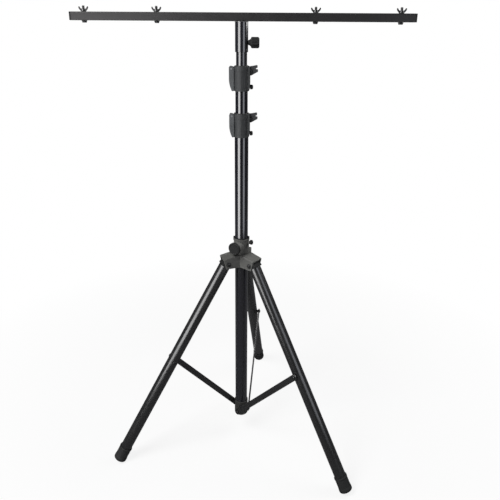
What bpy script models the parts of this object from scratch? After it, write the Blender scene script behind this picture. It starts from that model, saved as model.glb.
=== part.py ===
"""Lighting stand: folding tripod base, two telescopic tubes and a swivelling crossbar.

Metres, +Z up, the crossbar along X. The mast stands upright at MAST_Y, so that the origin lies on
the floor under the middle of the whole stand.
"""
import math

import bmesh
import bpy
from mathutils import Matrix, Vector

# Clearances
GAP = 0.0003
BOLT_GAP = 0.0003

# Telescopic tubes, outer diameters and wall
LOWER_DIAMETER = 0.0455
MIDDLE_DIAMETER = 0.040
TOP_DIAMETER = 0.035
TUBE_WALL = 0.0016
LOWER_BOTTOM_Z = 0.088
LOWER_TOP_Z = 1.258
MIDDLE_BOTTOM_Z = 0.200
MIDDLE_TOP_Z = 1.408
TOP_BOTTOM_Z = 0.320
GUIDE_FLANGE = 0.012
GUIDE_SPIGOT = 0.030
GUIDE_BORE = 0.012

# Crossbar
BAR_SIZE = 0.0255
BAR_WALL = 0.0016
BAR_LENGTH = 1.066
BAR_CENTRE_Z = 1.5760
BAR_CORNER = 0.0022
END_CAP_LIP = 0.0045
END_CAP_PLUG = 0.018
LEFT_END_TO_BOLT = 0.043
RIGHT_END_TO_BOLT = 0.046
INNER_BOLT_STATIONS = (-0.263, 0.227)
BOLT_DIAMETER = 0.008
BOLT_HEAD_WIDTH = 0.017
BOLT_HEAD_HEIGHT = 0.0065
BOLT_TIP = 0.0175
BOLT_CHAMFER = 0.001
WING_SPAN = 0.031
WING_HEIGHT = 0.0155
WING_THICKNESS = 0.003
WING_BASE_DIAMETER = 0.0165
WING_BASE_HEIGHT = 0.008
WING_TIP_RADIUS = 0.0034

# Socket sleeve under the bar and its thumb knob
SOCKET_WALL = 0.0027
SOCKET_LENGTH = 0.0905
SOCKET_ROOF = 0.004
SOCKET_CHAMFER = 0.0015
KNOB_DROP = 0.062
KNOB_NECK = 0.009
KNOB_LENGTH = 0.026
KNOB_DIAMETER = 0.034
KNOB_LOBES = 8
KNOB_LOBE_DEPTH = 0.0022
KNOB_NECK_DIAMETER = 0.015
KNOB_NECK_FLARE = 0.025
KNOB_CROWN = 0.003
KNOB_SCREW_DIAMETER = 0.008

# Tube clamps
CLAMP_HEIGHT = 0.0775
LOWER_CLAMP_Z = 1.2030
CLAMP_SPACING = 0.1497
CLAMP_DIAMETER = 0.0495
CLAMP_CHAMFER = 0.0015
CLAMP_EAR_WIDTH = 0.017
CLAMP_EAR_RADIUS = 0.006
CLAMP_EAR_BOTTOM = 0.030
CLAMP_EAR_TAPER = 0.004
CLAMP_CHEEK_REACH = 0.0275
CLAMP_CHEEK_WIDTH = 0.030
CLAMP_CHEEK_BOTTOM = 0.004
CLAMP_SPLIT = 0.003
BUSH_HEIGHT = 0.018
BUSH_LIP = 0.0015
BUSH_LIP_HEIGHT = 0.0012
LEVER_REACH = 0.0400
LEVER_INNER = 0.0240
LEVER_WALL = 0.002
LEVER_SIDE_GAP = 0.0005
LEVER_PIN_X = 0.0315
LEVER_PIN_DROP = 0.0085
LEVER_PIN_DIAMETER = 0.004
LEVER_CORNER = 0.005
LEVER_BEND_DROP = 0.030
LEVER_FOOT_INSET = 0.0092
HANDLE_DROP = 0.0145
HANDLE_DISC_DIAMETER = 0.021
HANDLE_DISC_THICKNESS = 0.0045
HANDLE_ROOT_DROP = 0.0170
HANDLE_THICKNESS = 0.011
HANDLE_LENGTH = 0.0245
HANDLE_FORK = 0.0172
PRONG_WIDTH = 0.0085
PRONG_NOTCH = 0.0045
PRONG_CORNER = 0.0025
UPPER_PRONG_RISE = 0.0175
UPPER_PRONG_SHORT = 0.0015
CLAMP_SCREW_DIAMETER = 0.006
CLAMP_NUT_DIAMETER = 0.0146
CLAMP_NUT_RISE = 0.0125
CLAMP_NUT_LENGTH = 0.0095

# Leg hub
HUB_BOTTOM_Z = 0.738
HUB_HEIGHT = 0.1045
HUB_COLLAR_DIAMETER = 0.057
HUB_COLLAR_CHAMFER = 0.002
NOTCH_DEPTH = 0.0085
RING_HEIGHT = 0.0012
RING_DIAMETER = 0.053
RING_CHAMFER = 0.0004
RING_LUG_RISE = 0.0035
RING_LUG_WIDTH = 0.010
RING_LUG_REACH = 0.0285
YOKE_WIDTH = 0.050
YOKE_CHEEK = 0.004
YOKE_ROOF = 0.004
YOKE_REACH_TOP = 0.0745
YOKE_REACH_BOTTOM = 0.065
YOKE_INNER_HEIGHT = 0.0495
YOKE_OUTER_HEIGHT = 0.0375
YOKE_TOP_START = 0.016
YOKE_SLOT_START = 0.0325
BOSS_AZIMUTH = -30.5
BOSS_DIAMETER = 0.0424
BOSS_REACH = 0.040
BOSS_DROP = 0.0285
BOSS_BORE = 0.024
HUB_KNOB_THICKNESS = 0.0095
HUB_KNOB_DIAMETER = 0.045
HUB_KNOB_RIM = 0.0025
HUB_KNOB_DISH = 0.0012
HUB_KNOB_CHAMFER = 0.0015
STEM_CLEARANCE = 0.0015
PAD_THICKNESS = 0.005
THUMB_AZIMUTH = 68.0
THUMB_DROP = 0.0220
THUMB_TILT = 14.0
THUMB_HEAD_DIAMETER = 0.0175
THUMB_HEAD_LENGTH = 0.010
THUMB_LOBES = 10
THUMB_LOBE_DEPTH = 0.0008
THUMB_NECK = 0.002
THUMB_SHANK_END = 0.0035
THUMB_SHANK_DIAMETER = 0.006
THUMB_BOSS_DIAMETER = 0.0115
THUMB_BOSS_REACH = 0.0335

# Legs, braces and the bottom hub; radii are taken from the mast's axis
LEG_AZIMUTH_FIRST = -67.6
LEG_NAMES = ("left", "right", "back")
LEG_DIAMETER = 0.041
LEG_PIVOT_RADIUS = 0.056
LEG_PIVOT_HEIGHT = 0.017
FOOT_REACH = 0.480
FOOT_AXIS_Z = 0.0190
FOOT_DIAMETER = 0.0470
FOOT_WAIST = 0.0450
FOOT_LIP_HEIGHT = 0.006
FOOT_LENGTH = 0.043
FOOT_SOLE_DROP = 0.012
FOOT_SOLE_CORNER = 0.005
FOOT_FLOOR = 0.024
LEG_TUBE_START = 0.014
PLUG_EYE_RADIUS = 0.0135
PLUG_HALF_WIDTH = 0.0175
PLUG_SHOULDER = 0.010
PLUG_SPIGOT = 0.030
PIVOT_BOLT_DIAMETER = 0.008
PIVOT_HEAD_WIDTH = 0.014
PIVOT_HEAD_HEIGHT = 0.0045
PIVOT_BOLT_END = 0.003
BRACE_JOINT_RADIUS = 0.265
BRACE_BASE_RADIUS = 0.004
BRACE_BASE_Z = 0.100
BRACE_WIDTH = 0.0215
BRACE_THICKNESS = 0.004
BRACE_INNER_FACE = 0.0261
BRACE_BOLT_DIAMETER = 0.006
BRACE_HEAD_DIAMETER = 0.013
BRACE_HEAD_HEIGHT = 0.0035
SPACER_DIAMETER = 0.012
BOTTOM_HUB_DIAMETER = 0.0515
BOTTOM_HUB_CHAMFER = 0.004
BOTTOM_HUB_Z = 0.083
BOTTOM_HUB_TOP_Z = 0.147
BOTTOM_BOSS_DIAMETER = 0.024

# Worked out from the sizes above
CLAMP_Z = {"lower": LOWER_CLAMP_Z, "upper": LOWER_CLAMP_Z + CLAMP_SPACING}
BAR_BOTTOM_Z = BAR_CENTRE_Z - BAR_SIZE / 2
BAR_TOP_Z = BAR_CENTRE_Z + BAR_SIZE / 2
SOCKET_TOP_Z = BAR_BOTTOM_Z - GAP
SOCKET_BOTTOM_Z = SOCKET_TOP_Z - SOCKET_LENGTH
TOP_TOP_Z = SOCKET_TOP_Z - SOCKET_ROOF - GAP
BOLT_STATIONS = (LEFT_END_TO_BOLT - BAR_LENGTH / 2, *INNER_BOLT_STATIONS, BAR_LENGTH / 2 - RIGHT_END_TO_BOLT)
HUB_TOP_Z = HUB_BOTTOM_Z + HUB_HEIGHT
YOKE_TOP_INNER_Z = HUB_BOTTOM_Z + YOKE_INNER_HEIGHT
YOKE_TOP_OUTER_Z = HUB_BOTTOM_Z + YOKE_OUTER_HEIGHT
BOSS_Z = HUB_TOP_Z - BOSS_DROP
THUMB_Z = HUB_TOP_Z - THUMB_DROP
LEG_PIVOT_Z = HUB_BOTTOM_Z + LEG_PIVOT_HEIGHT
LEG_AZIMUTH = {name: LEG_AZIMUTH_FIRST + 120.0 * i for i, name in enumerate(LEG_NAMES)}
LEG_TILT = math.atan2(FOOT_REACH - LEG_PIVOT_RADIUS, LEG_PIVOT_Z - FOOT_AXIS_Z)
LEG_LENGTH = math.hypot(FOOT_REACH - LEG_PIVOT_RADIUS, LEG_PIVOT_Z - FOOT_AXIS_Z)
BRACE_JOINT_DOWN = (BRACE_JOINT_RADIUS - LEG_PIVOT_RADIUS) / math.sin(LEG_TILT)
BRACE_JOINT_Z = LEG_PIVOT_Z - BRACE_JOINT_DOWN * math.cos(LEG_TILT)
BRACE_TILT = math.atan2(BRACE_JOINT_RADIUS - BRACE_BASE_RADIUS, BRACE_JOINT_Z - BRACE_BASE_Z)
BRACE_LENGTH = math.hypot(BRACE_JOINT_RADIUS - BRACE_BASE_RADIUS, BRACE_JOINT_Z - BRACE_BASE_Z)
BRACE_OFFSET = BRACE_INNER_FACE + BRACE_THICKNESS / 2

ROUND_STEPS = 24
SMALL_STEPS = 14
BOLT_STEPS = 12
MERGE = 0.00001

parts = None
cutters = None
materials = {}


def foot_extent(azimuth):
    "How far the foot of a leg at this azimuth reaches towards azimuth 0, from the mast's axis."
    facing = math.cos(math.radians(azimuth))
    lean = math.sin(LEG_TILT)
    reach = FOOT_REACH + (FOOT_SOLE_DROP - FOOT_SOLE_CORNER) * lean
    rim = FOOT_DIAMETER / 2 - FOOT_SOLE_CORNER
    return reach * facing + rim * math.sqrt(1 - (facing * lean) ** 2) + FOOT_SOLE_CORNER


MAST_Y = (foot_extent(LEG_AZIMUTH["right"]) - foot_extent(180 - LEG_AZIMUTH["back"])) / 2


def clear_scene():
    for obj in list(bpy.data.objects):
        bpy.data.objects.remove(obj, do_unlink=True)


def new_collection(name):
    collection = bpy.data.collections.new(name)
    bpy.context.scene.collection.children.link(collection)
    return collection


def material(name, colour, roughness, metallic):
    if name not in materials:
        mat = bpy.data.materials.new(name)
        mat.use_nodes = True
        shader = mat.node_tree.nodes["Principled BSDF"]
        shader.inputs["Base Color"].default_value = (*colour, 1.0)
        shader.inputs["Roughness"].default_value = roughness
        shader.inputs["Metallic"].default_value = metallic
        materials[name] = mat
    return materials[name]


def gloss_black():
    return material("gloss_black_tube", (0.020, 0.021, 0.026), 0.18, 0.2)


def satin_black():
    return material("satin_black_steel", (0.030, 0.030, 0.031), 0.42, 0.2)


def bar_black():
    return material("satin_black_bar", (0.034, 0.033, 0.034), 0.38, 0.2)


def hub_grey():
    return material("cast_hub_grey", (0.075, 0.075, 0.068), 0.6, 0.3)


def clamp_plastic():
    return material("clamp_plastic", (0.050, 0.052, 0.054), 0.5, 0.0)


def lever_grey():
    return material("lever_grey", (0.14, 0.145, 0.15), 0.45, 0.1)


def knob_plastic():
    return material("knob_plastic", (0.022, 0.022, 0.022), 0.45, 0.0)


def rubber():
    return material("foot_rubber", (0.018, 0.018, 0.018), 0.75, 0.0)


def black_steel():
    return material("black_hardware", (0.030, 0.030, 0.031), 0.35, 0.6)


def zinc():
    return material("zinc_steel", (0.62, 0.62, 0.63), 0.32, 1.0)


def bush_plastic():
    return material("bush_plastic", (0.03, 0.03, 0.03), 0.5, 0.0)


def mesh_object(name, mesh, mat, parent=None):
    "A part's object from its mesh, shaded smooth except at its sharp edges."
    obj = bpy.data.objects.new(name, mesh)
    parts.objects.link(obj)
    mesh.materials.clear()
    mesh.materials.append(mat)
    mesh.shade_smooth()
    mesh.set_sharp_from_angle(angle=math.radians(35))
    if parent is not None:
        obj.parent = parent
    return obj


def empty(name, location, rotation=(0.0, 0.0, 0.0), parent=None):
    obj = bpy.data.objects.new(name, None)
    bpy.context.scene.collection.objects.link(obj)
    obj.location = location
    obj.rotation_euler = rotation
    obj.parent = parent
    return obj


def turned_mesh(profile, steps=ROUND_STEPS, closed=False):
    """Solid of revolution about Z from (radius, z) points that run down the outer side.

    A closed profile is a ring that doesn't touch the axis."""
    mesh = bpy.data.meshes.new("profile")
    points = [(r, 0.0, z) for r, z in profile]
    edges = [(i, i + 1) for i in range(len(points) - 1)]
    if closed:
        edges.append((len(points) - 1, 0))
    mesh.from_pydata(points, edges, [])
    obj = bpy.data.objects.new("profile", mesh)
    bpy.context.scene.collection.objects.link(obj)
    screw = obj.modifiers.new("turn", "SCREW")
    screw.angle = math.tau
    screw.steps = steps
    screw.render_steps = steps
    screw.use_merge_vertices = True
    screw.merge_threshold = MERGE
    screw.use_normal_calculate = False
    return baked(obj)


def baked(obj):
    "The evaluated mesh of an object, which is then removed."
    bpy.context.view_layer.update()
    graph = bpy.context.evaluated_depsgraph_get()
    mesh = bpy.data.meshes.new_from_object(obj.evaluated_get(graph))
    data = obj.data
    is_curve = obj.type == "CURVE"
    bpy.data.objects.remove(obj, do_unlink=True)
    if is_curve:
        bpy.data.curves.remove(data)
    else:
        bpy.data.meshes.remove(data)
    shape = bmesh.new()
    shape.from_mesh(mesh)
    bmesh.ops.remove_doubles(shape, verts=shape.verts, dist=MERGE)
    bmesh.ops.recalc_face_normals(shape, faces=shape.faces)
    shape.to_mesh(mesh)
    shape.free()
    return mesh


def plate_mesh(points, thickness):
    "Flat outline in local X and Z, with its thickness centred along Y."
    curve = bpy.data.curves.new("outline", "CURVE")
    curve.dimensions = "2D"
    curve.fill_mode = "BOTH"
    curve.extrude = thickness / 2
    spline = curve.splines.new("POLY")
    spline.points.add(len(points) - 1)
    for point, (x, z) in zip(spline.points, points):
        point.co = (x, z, 0.0, 1.0)
    spline.use_cyclic_u = True
    obj = bpy.data.objects.new("outline", curve)
    bpy.context.scene.collection.objects.link(obj)
    mesh = baked(obj)
    mesh.transform(Matrix.Rotation(math.pi / 2, 4, "X"))
    return mesh


def box_mesh(low, high):
    shape = bmesh.new()
    bmesh.ops.create_cube(shape, size=1.0)
    size = [b - a for a, b in zip(low, high)]
    middle = [(a + b) / 2 for a, b in zip(low, high)]
    bmesh.ops.scale(shape, vec=size, verts=shape.verts)
    bmesh.ops.translate(shape, vec=middle, verts=shape.verts)
    mesh = bpy.data.meshes.new("box")
    shape.to_mesh(mesh)
    shape.free()
    return mesh


def rod_mesh(radius, start, end, steps=SMALL_STEPS, end_radius=None):
    "Cylinder or cone along local Z, from one height to another."
    shape = bmesh.new()
    bmesh.ops.create_cone(shape, cap_ends=True, segments=steps, radius1=radius,
                          radius2=radius if end_radius is None else end_radius, depth=end - start)
    bmesh.ops.translate(shape, vec=(0.0, 0.0, (start + end) / 2), verts=shape.verts)
    mesh = bpy.data.meshes.new("rod")
    shape.to_mesh(mesh)
    shape.free()
    return mesh


def arc(cx, cz, radius, start, end, count):
    "Points on an arc, angles in degrees from +X towards +Z."
    step = (end - start) / (count - 1)
    angles = [math.radians(start + step * i) for i in range(count)]
    return [(cx + radius * math.cos(a), cz + radius * math.sin(a)) for a in angles]


def placed(mesh, matrix):
    mesh.transform(matrix)
    return mesh


def along_x(x=0.0, y=0.0, z=0.0):
    "Turns a mesh built along Z to run along +X from the given point."
    return Matrix.Translation((x, y, z)) @ Matrix.Rotation(math.pi / 2, 4, "Y")


def along_y(x=0.0, y=0.0, z=0.0):
    "Turns a mesh built along Z to run along +Y from the given point."
    return Matrix.Translation((x, y, z)) @ Matrix.Rotation(-math.pi / 2, 4, "X")


def along_azimuth(azimuth, distance, z, tilt=0.0):
    "Turns a mesh built along Z to point outwards at an azimuth, counted from -Y towards +X."
    angle = math.radians(azimuth)
    turn = Matrix.Rotation(angle - math.pi / 2, 4, "Z")
    lie = Matrix.Rotation(math.pi / 2 - math.radians(tilt), 4, "Y")
    place = (distance * math.sin(angle), -distance * math.cos(angle), z)
    return Matrix.Translation(place) @ turn @ lie


def boolean(obj, meshes, operation):
    "Joins meshes to an object or cuts them from it, one after another."
    for mesh in meshes:
        tool = bpy.data.objects.new(obj.name + "_tool", mesh)
        cutters.objects.link(tool)
        tool.parent = obj.parent
        tool.hide_render = True
        tool.display_type = "WIRE"
        step = obj.modifiers.new(operation.lower(), "BOOLEAN")
        step.operation = operation
        step.solver = "EXACT"
        step.object = tool


def join(obj, *meshes):
    boolean(obj, meshes, "UNION")


def cut(obj, *meshes):
    boolean(obj, meshes, "DIFFERENCE")


def ring_profile(outer, inner, bottom, top, chamfer=0.0):
    "Closed profile of a plain ring or tube, with an optional chamfer on its outer edges."
    if chamfer:
        return [(outer - chamfer, top), (outer, top - chamfer), (outer, bottom + chamfer),
                (outer - chamfer, bottom), (inner, bottom), (inner, top)]
    return [(outer, top), (outer, bottom), (inner, bottom), (inner, top)]


def build_tube(name, diameter, bottom, top, mat, parent):
    outer = diameter / 2
    mesh = turned_mesh(ring_profile(outer, outer - TUBE_WALL, bottom, top), closed=True)
    return mesh_object(name, mesh, mat, parent)


def build_guide(name, tube_diameter, housing_diameter, tube_bottom, parent):
    "Bush at the foot of a sliding tube: a flange that runs in the tube outside, and a spigot inside."
    flange = housing_diameter / 2 - TUBE_WALL - GAP
    spigot = tube_diameter / 2 - TUBE_WALL - GAP
    seat = tube_bottom - GAP
    profile = [(spigot, seat + GUIDE_SPIGOT), (spigot, seat), (flange, seat), (flange, seat - GUIDE_FLANGE),
               (GUIDE_BORE, seat - GUIDE_FLANGE), (GUIDE_BORE, seat + GUIDE_SPIGOT)]
    return mesh_object(name, turned_mesh(profile, closed=True), bush_plastic(), parent)


def build_tubes(mast):
    build_tube("lower_tube", LOWER_DIAMETER, LOWER_BOTTOM_Z, LOWER_TOP_Z, gloss_black(), mast)
    build_tube("middle_tube", MIDDLE_DIAMETER, MIDDLE_BOTTOM_Z, MIDDLE_TOP_Z, gloss_black(), mast)
    build_tube("top_tube", TOP_DIAMETER, TOP_BOTTOM_Z, TOP_TOP_Z, gloss_black(), mast)
    build_guide("middle_guide_bush", MIDDLE_DIAMETER, LOWER_DIAMETER, MIDDLE_BOTTOM_Z, mast)
    build_guide("top_guide_bush", TOP_DIAMETER, MIDDLE_DIAMETER, TOP_BOTTOM_Z, mast)


def square_mesh(size, corner, start, end):
    "Square bar along X with rounded edges, centred on the X axis."
    half = size / 2 - corner
    outline = []
    for cy, cz, first in ((half, half, 0), (-half, half, 90), (-half, -half, 180), (half, -half, 270)):
        outline += arc(cy, cz, corner, first, first + 90, 4)
    shape = bmesh.new()
    near, far = ([shape.verts.new((x, y, z)) for y, z in outline] for x in (start, end))
    for i, vert in enumerate(near):
        j = (i + 1) % len(outline)
        shape.faces.new((vert, near[j], far[j], far[i]))
    shape.faces.new(near)
    shape.faces.new(far)
    bmesh.ops.recalc_face_normals(shape, faces=shape.faces)
    mesh = bpy.data.meshes.new("bar")
    shape.to_mesh(mesh)
    shape.free()
    return mesh


def hexagon_mesh(width, start, end):
    "Six-sided bolt head along Z, by its width across the flats."
    return rod_mesh(width / 2 / math.cos(math.pi / 6), start, end, steps=6)


def build_crossbar(mast):
    lift = Matrix.Translation((0, 0, BAR_CENTRE_Z))
    half = BAR_LENGTH / 2
    tube_half = half - END_CAP_LIP - GAP
    inner = BAR_SIZE - 2 * BAR_WALL
    outside = placed(square_mesh(BAR_SIZE, BAR_CORNER, -tube_half, tube_half), lift)
    bar = mesh_object("crossbar_tube", outside, bar_black(), mast)
    cut(bar, placed(square_mesh(inner, BAR_CORNER - BAR_WALL / 2, -half, half), lift))
    hole = BOLT_DIAMETER / 2 + BOLT_GAP
    holes = [placed(rod_mesh(hole, BAR_BOTTOM_Z - BAR_SIZE, BAR_TOP_Z + BAR_SIZE, BOLT_STEPS),
                    Matrix.Translation((x, 0, 0))) for x in BOLT_STATIONS]
    cut(bar, *holes)
    plug_size = inner - 2 * GAP
    for side, name in ((-1, "end_cap_left"), (1, "end_cap_right")):
        ends = sorted((side * half, side * (half - END_CAP_LIP)))
        cap = mesh_object(name, placed(square_mesh(BAR_SIZE, BAR_CORNER, *ends), lift), knob_plastic(), mast)
        ends = sorted((side * (half - END_CAP_LIP / 2), side * (half - END_CAP_LIP - END_CAP_PLUG)))
        join(cap, placed(square_mesh(plug_size, BAR_CORNER - BAR_WALL / 2, *ends), lift))


def bar_bolt_mesh():
    "Fixture bolt: a shank that rises through the bar from a flanged round-cornered head below it."
    radius = BOLT_DIAMETER / 2
    tip = BAR_TOP_Z + BOLT_TIP
    chamfer = BOLT_CHAMFER
    head_top = BAR_BOTTOM_Z - GAP
    head_bottom = head_top - BOLT_HEAD_HEIGHT
    head = BOLT_HEAD_WIDTH / 2
    profile = [(0, tip), (radius - chamfer, tip), (radius, tip - chamfer), (radius, head_top), (head, head_top),
               (head, head_bottom + chamfer), (head - chamfer, head_bottom), (0, head_bottom)]
    return turned_mesh(profile, BOLT_STEPS)


def build_bar_bolts(mast):
    for i, x in enumerate(BOLT_STATIONS, start=1):
        bolt = mesh_object(f"bar_bolt_{i}", bar_bolt_mesh(), black_steel(), mast)
        bolt.location = (x, 0, 0)


def wing_outline():
    "One wing of a wing nut, seen from the side: it leaves the base and rises outwards."
    half = WING_SPAN / 2
    base = WING_BASE_DIAMETER / 2
    low = WING_BASE_HEIGHT * 0.25
    return ([(base * 0.55, low), (base, low)] + [(half * 0.86, WING_HEIGHT * 0.52)]
            + arc(half - WING_TIP_RADIUS, WING_HEIGHT - WING_TIP_RADIUS, WING_TIP_RADIUS, -30, 130, 6)
            + [(base * 0.80, WING_BASE_HEIGHT), (base * 0.55, WING_BASE_HEIGHT * 0.9)])


def build_wing_nuts(mast):
    radius = WING_BASE_DIAMETER / 2
    bore = BOLT_DIAMETER / 2 + BOLT_GAP
    for i, x in enumerate(BOLT_STATIONS, start=1):
        pivot = empty(f"wing_nut_{i}_axis", (x, 0, BAR_TOP_Z + GAP), parent=mast)
        profile = [(radius * 0.72, WING_BASE_HEIGHT), (radius, WING_BASE_HEIGHT * 0.2), (radius, 0),
                   (bore, 0), (bore, WING_BASE_HEIGHT)]
        ring = turned_mesh(profile, SMALL_STEPS, closed=True)
        nut = mesh_object(f"wing_nut_{i}", ring, black_steel(), pivot)
        right = plate_mesh(wing_outline(), WING_THICKNESS)
        left = placed(plate_mesh(wing_outline(), WING_THICKNESS), Matrix.Rotation(math.pi, 4, "Z"))
        join(nut, right, left)


def lobed_outline(radius, lobes, depth, count=48):
    "Outline of a hand knob whose radius swings between its lobes."
    points = []
    for i in range(count):
        angle = math.tau * i / count
        reach = radius - depth * (0.5 - 0.5 * math.cos(lobes * angle))
        points.append((reach * math.cos(angle), reach * math.sin(angle)))
    return points


def build_socket(mast):
    outer = TOP_DIAMETER / 2 + GAP + SOCKET_WALL
    inner = TOP_DIAMETER / 2 + GAP
    profile = [(0, SOCKET_TOP_Z), (outer, SOCKET_TOP_Z), (outer, SOCKET_BOTTOM_Z + SOCKET_CHAMFER),
               (outer - SOCKET_CHAMFER, SOCKET_BOTTOM_Z), (inner, SOCKET_BOTTOM_Z),
               (inner, SOCKET_TOP_Z - SOCKET_ROOF), (0, SOCKET_TOP_Z - SOCKET_ROOF)]
    socket = mesh_object("crossbar_socket", turned_mesh(profile), gloss_black(), mast)
    knob_z = SOCKET_TOP_Z - KNOB_DROP
    screw = KNOB_SCREW_DIAMETER / 2
    cut(socket, placed(rod_mesh(screw + BOLT_GAP, 0, outer * 2, BOLT_STEPS), along_x(z=knob_z)))

    pivot = empty("socket_knob_axis", (0, 0, knob_z), (0, math.pi / 2, 0), parent=mast)
    face = outer + GAP
    grip_start = face + KNOB_NECK
    end = grip_start + KNOB_LENGTH
    grip = KNOB_LENGTH - KNOB_CROWN
    body = plate_mesh(lobed_outline(KNOB_DIAMETER / 2, KNOB_LOBES, KNOB_LOBE_DEPTH), grip)
    turn = Matrix.Translation((0, 0, grip_start + grip / 2)) @ Matrix.Rotation(math.pi / 2, 4, "X")
    knob = mesh_object("socket_knob", placed(body, turn), knob_plastic(), pivot)
    flare = KNOB_NECK_FLARE / 2
    join(knob, rod_mesh(KNOB_NECK_DIAMETER / 2, face, grip_start + KNOB_CROWN, end_radius=flare),
         rod_mesh(KNOB_DIAMETER * 0.40, end - 2 * KNOB_CROWN, end, end_radius=KNOB_DIAMETER * 0.34))
    join(knob, rod_mesh(screw, TOP_DIAMETER / 2 + GAP, grip_start, BOLT_STEPS))


def clamp_bores(which):
    "Bore radius of a clamp's lower part, round its own tube, and outer radius of the bush above."
    own = LOWER_DIAMETER if which == "lower" else MIDDLE_DIAMETER
    sliding = MIDDLE_DIAMETER if which == "lower" else TOP_DIAMETER
    return own / 2 + GAP, sliding / 2 + GAP


def build_clamp(which, mast):
    bottom = CLAMP_Z[which]
    outer = CLAMP_DIAMETER / 2
    bore, slide = clamp_bores(which)
    top = CLAMP_HEIGHT
    chamfer = CLAMP_CHAMFER
    profile = [(0, top), (outer - chamfer, top), (outer, top - chamfer), (outer, chamfer),
               (outer - chamfer / 2, 0), (0, 0)]
    origin = empty(f"{which}_clamp_seat", (0, 0, bottom), parent=mast)
    body = mesh_object(f"{which}_clamp_body", turned_mesh(profile), clamp_plastic(), origin)
    ear_half = CLAMP_EAR_WIDTH / 2
    cheek_half = CLAMP_CHEEK_WIDTH / 2
    inside = bore / 2
    pin_z = CLAMP_HEIGHT - LEVER_PIN_DROP
    ear_end = CLAMP_EAR_RADIUS + LEVER_PIN_X
    outline = ([(-inside, pin_z + CLAMP_EAR_RADIUS)] + arc(-LEVER_PIN_X, pin_z, CLAMP_EAR_RADIUS, 90, 180, 5)
               + [(CLAMP_EAR_TAPER - ear_end, CLAMP_EAR_BOTTOM), (-inside, CLAMP_EAR_BOTTOM)])
    ear = plate_mesh(outline, CLAMP_EAR_WIDTH)
    cheek = box_mesh((inside, -cheek_half, CLAMP_CHEEK_BOTTOM), (CLAMP_CHEEK_REACH, cheek_half, top - chamfer))
    join(body, ear, cheek)
    split = box_mesh((inside, -CLAMP_SPLIT / 2, -chamfer),
                     (CLAMP_CHEEK_REACH + chamfer, CLAMP_SPLIT / 2, top + chamfer))
    pin_hole = placed(rod_mesh(LEVER_PIN_DIAMETER / 2 + BOLT_GAP, -ear_half * 2, ear_half * 2, BOLT_STEPS),
                      along_y(-LEVER_PIN_X, 0, pin_z))
    screw_z = CLAMP_HEIGHT - HANDLE_DROP
    hole = CLAMP_SCREW_DIAMETER / 2 + BOLT_GAP
    holes = [placed(rod_mesh(hole, inside, CLAMP_CHEEK_REACH + chamfer, BOLT_STEPS), along_x(z=z))
             for z in (screw_z, CLAMP_NUT_RISE)]
    cut(body, split, *holes, pin_hole, rod_mesh(bore, -chamfer, top + chamfer, ROUND_STEPS))

    lip = bore + BUSH_LIP
    lip_bottom = CLAMP_HEIGHT + GAP
    lip_top = lip_bottom + BUSH_LIP_HEIGHT
    bush_bottom = CLAMP_HEIGHT - BUSH_HEIGHT
    bush_profile = [(lip, lip_top), (lip, lip_bottom), (bore - GAP, lip_bottom), (bore - GAP, bush_bottom),
                    (slide, bush_bottom), (slide, lip_top)]
    mesh_object(f"{which}_clamp_bush", turned_mesh(bush_profile, closed=True), bush_plastic(), origin)

    radius = CLAMP_NUT_DIAMETER / 2
    screw = CLAMP_SCREW_DIAMETER / 2
    face = CLAMP_CHEEK_REACH + GAP
    screw_end = bore + 2 * GAP
    dome = [(0, face + CLAMP_NUT_LENGTH), (radius * 0.5, face + CLAMP_NUT_LENGTH * 0.95),
            (radius * 0.87, face + CLAMP_NUT_LENGTH * 0.7), (radius, face + CLAMP_NUT_LENGTH * 0.4),
            (radius, face), (screw, face), (screw, screw_end), (0, screw_end)]
    mesh_object(f"{which}_clamp_nut", placed(turned_mesh(dome, SMALL_STEPS), along_x(z=CLAMP_NUT_RISE)),
                knob_plastic(), origin)
    build_lever(which, origin, pin_z, ear_half)
    build_handle(which, origin, screw_z, screw_end)


def lever_back(foot, inset):
    "The lever's back edge about its pin: straight down to its bend, then drawn in towards its foot."
    back = LEVER_PIN_X - LEVER_REACH + inset
    fall = -LEVER_BEND_DROP - foot
    return [(back + LEVER_FOOT_INSET * part ** 2, -LEVER_BEND_DROP - fall * part)
            for part in (0.0, 0.35, 0.7, 1.0)]


def build_lever(which, origin, pin_z, ear_half):
    pivot = empty(f"{which}_clamp_lever_axis", (-LEVER_PIN_X, 0, pin_z), parent=origin)
    inside = ear_half + LEVER_SIDE_GAP
    front = LEVER_PIN_X - LEVER_INNER
    top = LEVER_PIN_DROP - GAP
    back = LEVER_PIN_X - LEVER_REACH
    corner = LEVER_CORNER
    crown = arc(back + corner, top - corner, corner, 90, 180, 5)
    outline = arc(0, 0, front, 0, 70, 5) + [(0.0, top)] + crown + lever_back(-pin_z, 0.0) + [(front, -pin_z)]
    solid = plate_mesh(outline, 2 * (inside + LEVER_WALL))
    lever = mesh_object(f"{which}_clamp_lever", solid, lever_grey(), pivot)
    beyond = LEVER_REACH
    hollow = [(beyond, beyond), (back + LEVER_WALL, beyond)] + lever_back(-pin_z - LEVER_WALL, LEVER_WALL)
    hollow.append((beyond, -pin_z - LEVER_WALL))
    cut(lever, plate_mesh(hollow, 2 * inside),
        placed(rod_mesh(LEVER_PIN_DIAMETER / 2 + BOLT_GAP, -beyond, beyond, BOLT_STEPS), along_y()))
    reach = inside + LEVER_WALL + 2 * GAP
    pin = placed(rod_mesh(LEVER_PIN_DIAMETER / 2, -reach, reach, BOLT_STEPS), along_y(-LEVER_PIN_X, 0, pin_z))
    mesh_object(f"{which}_clamp_pin", pin, zinc(), origin)


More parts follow.
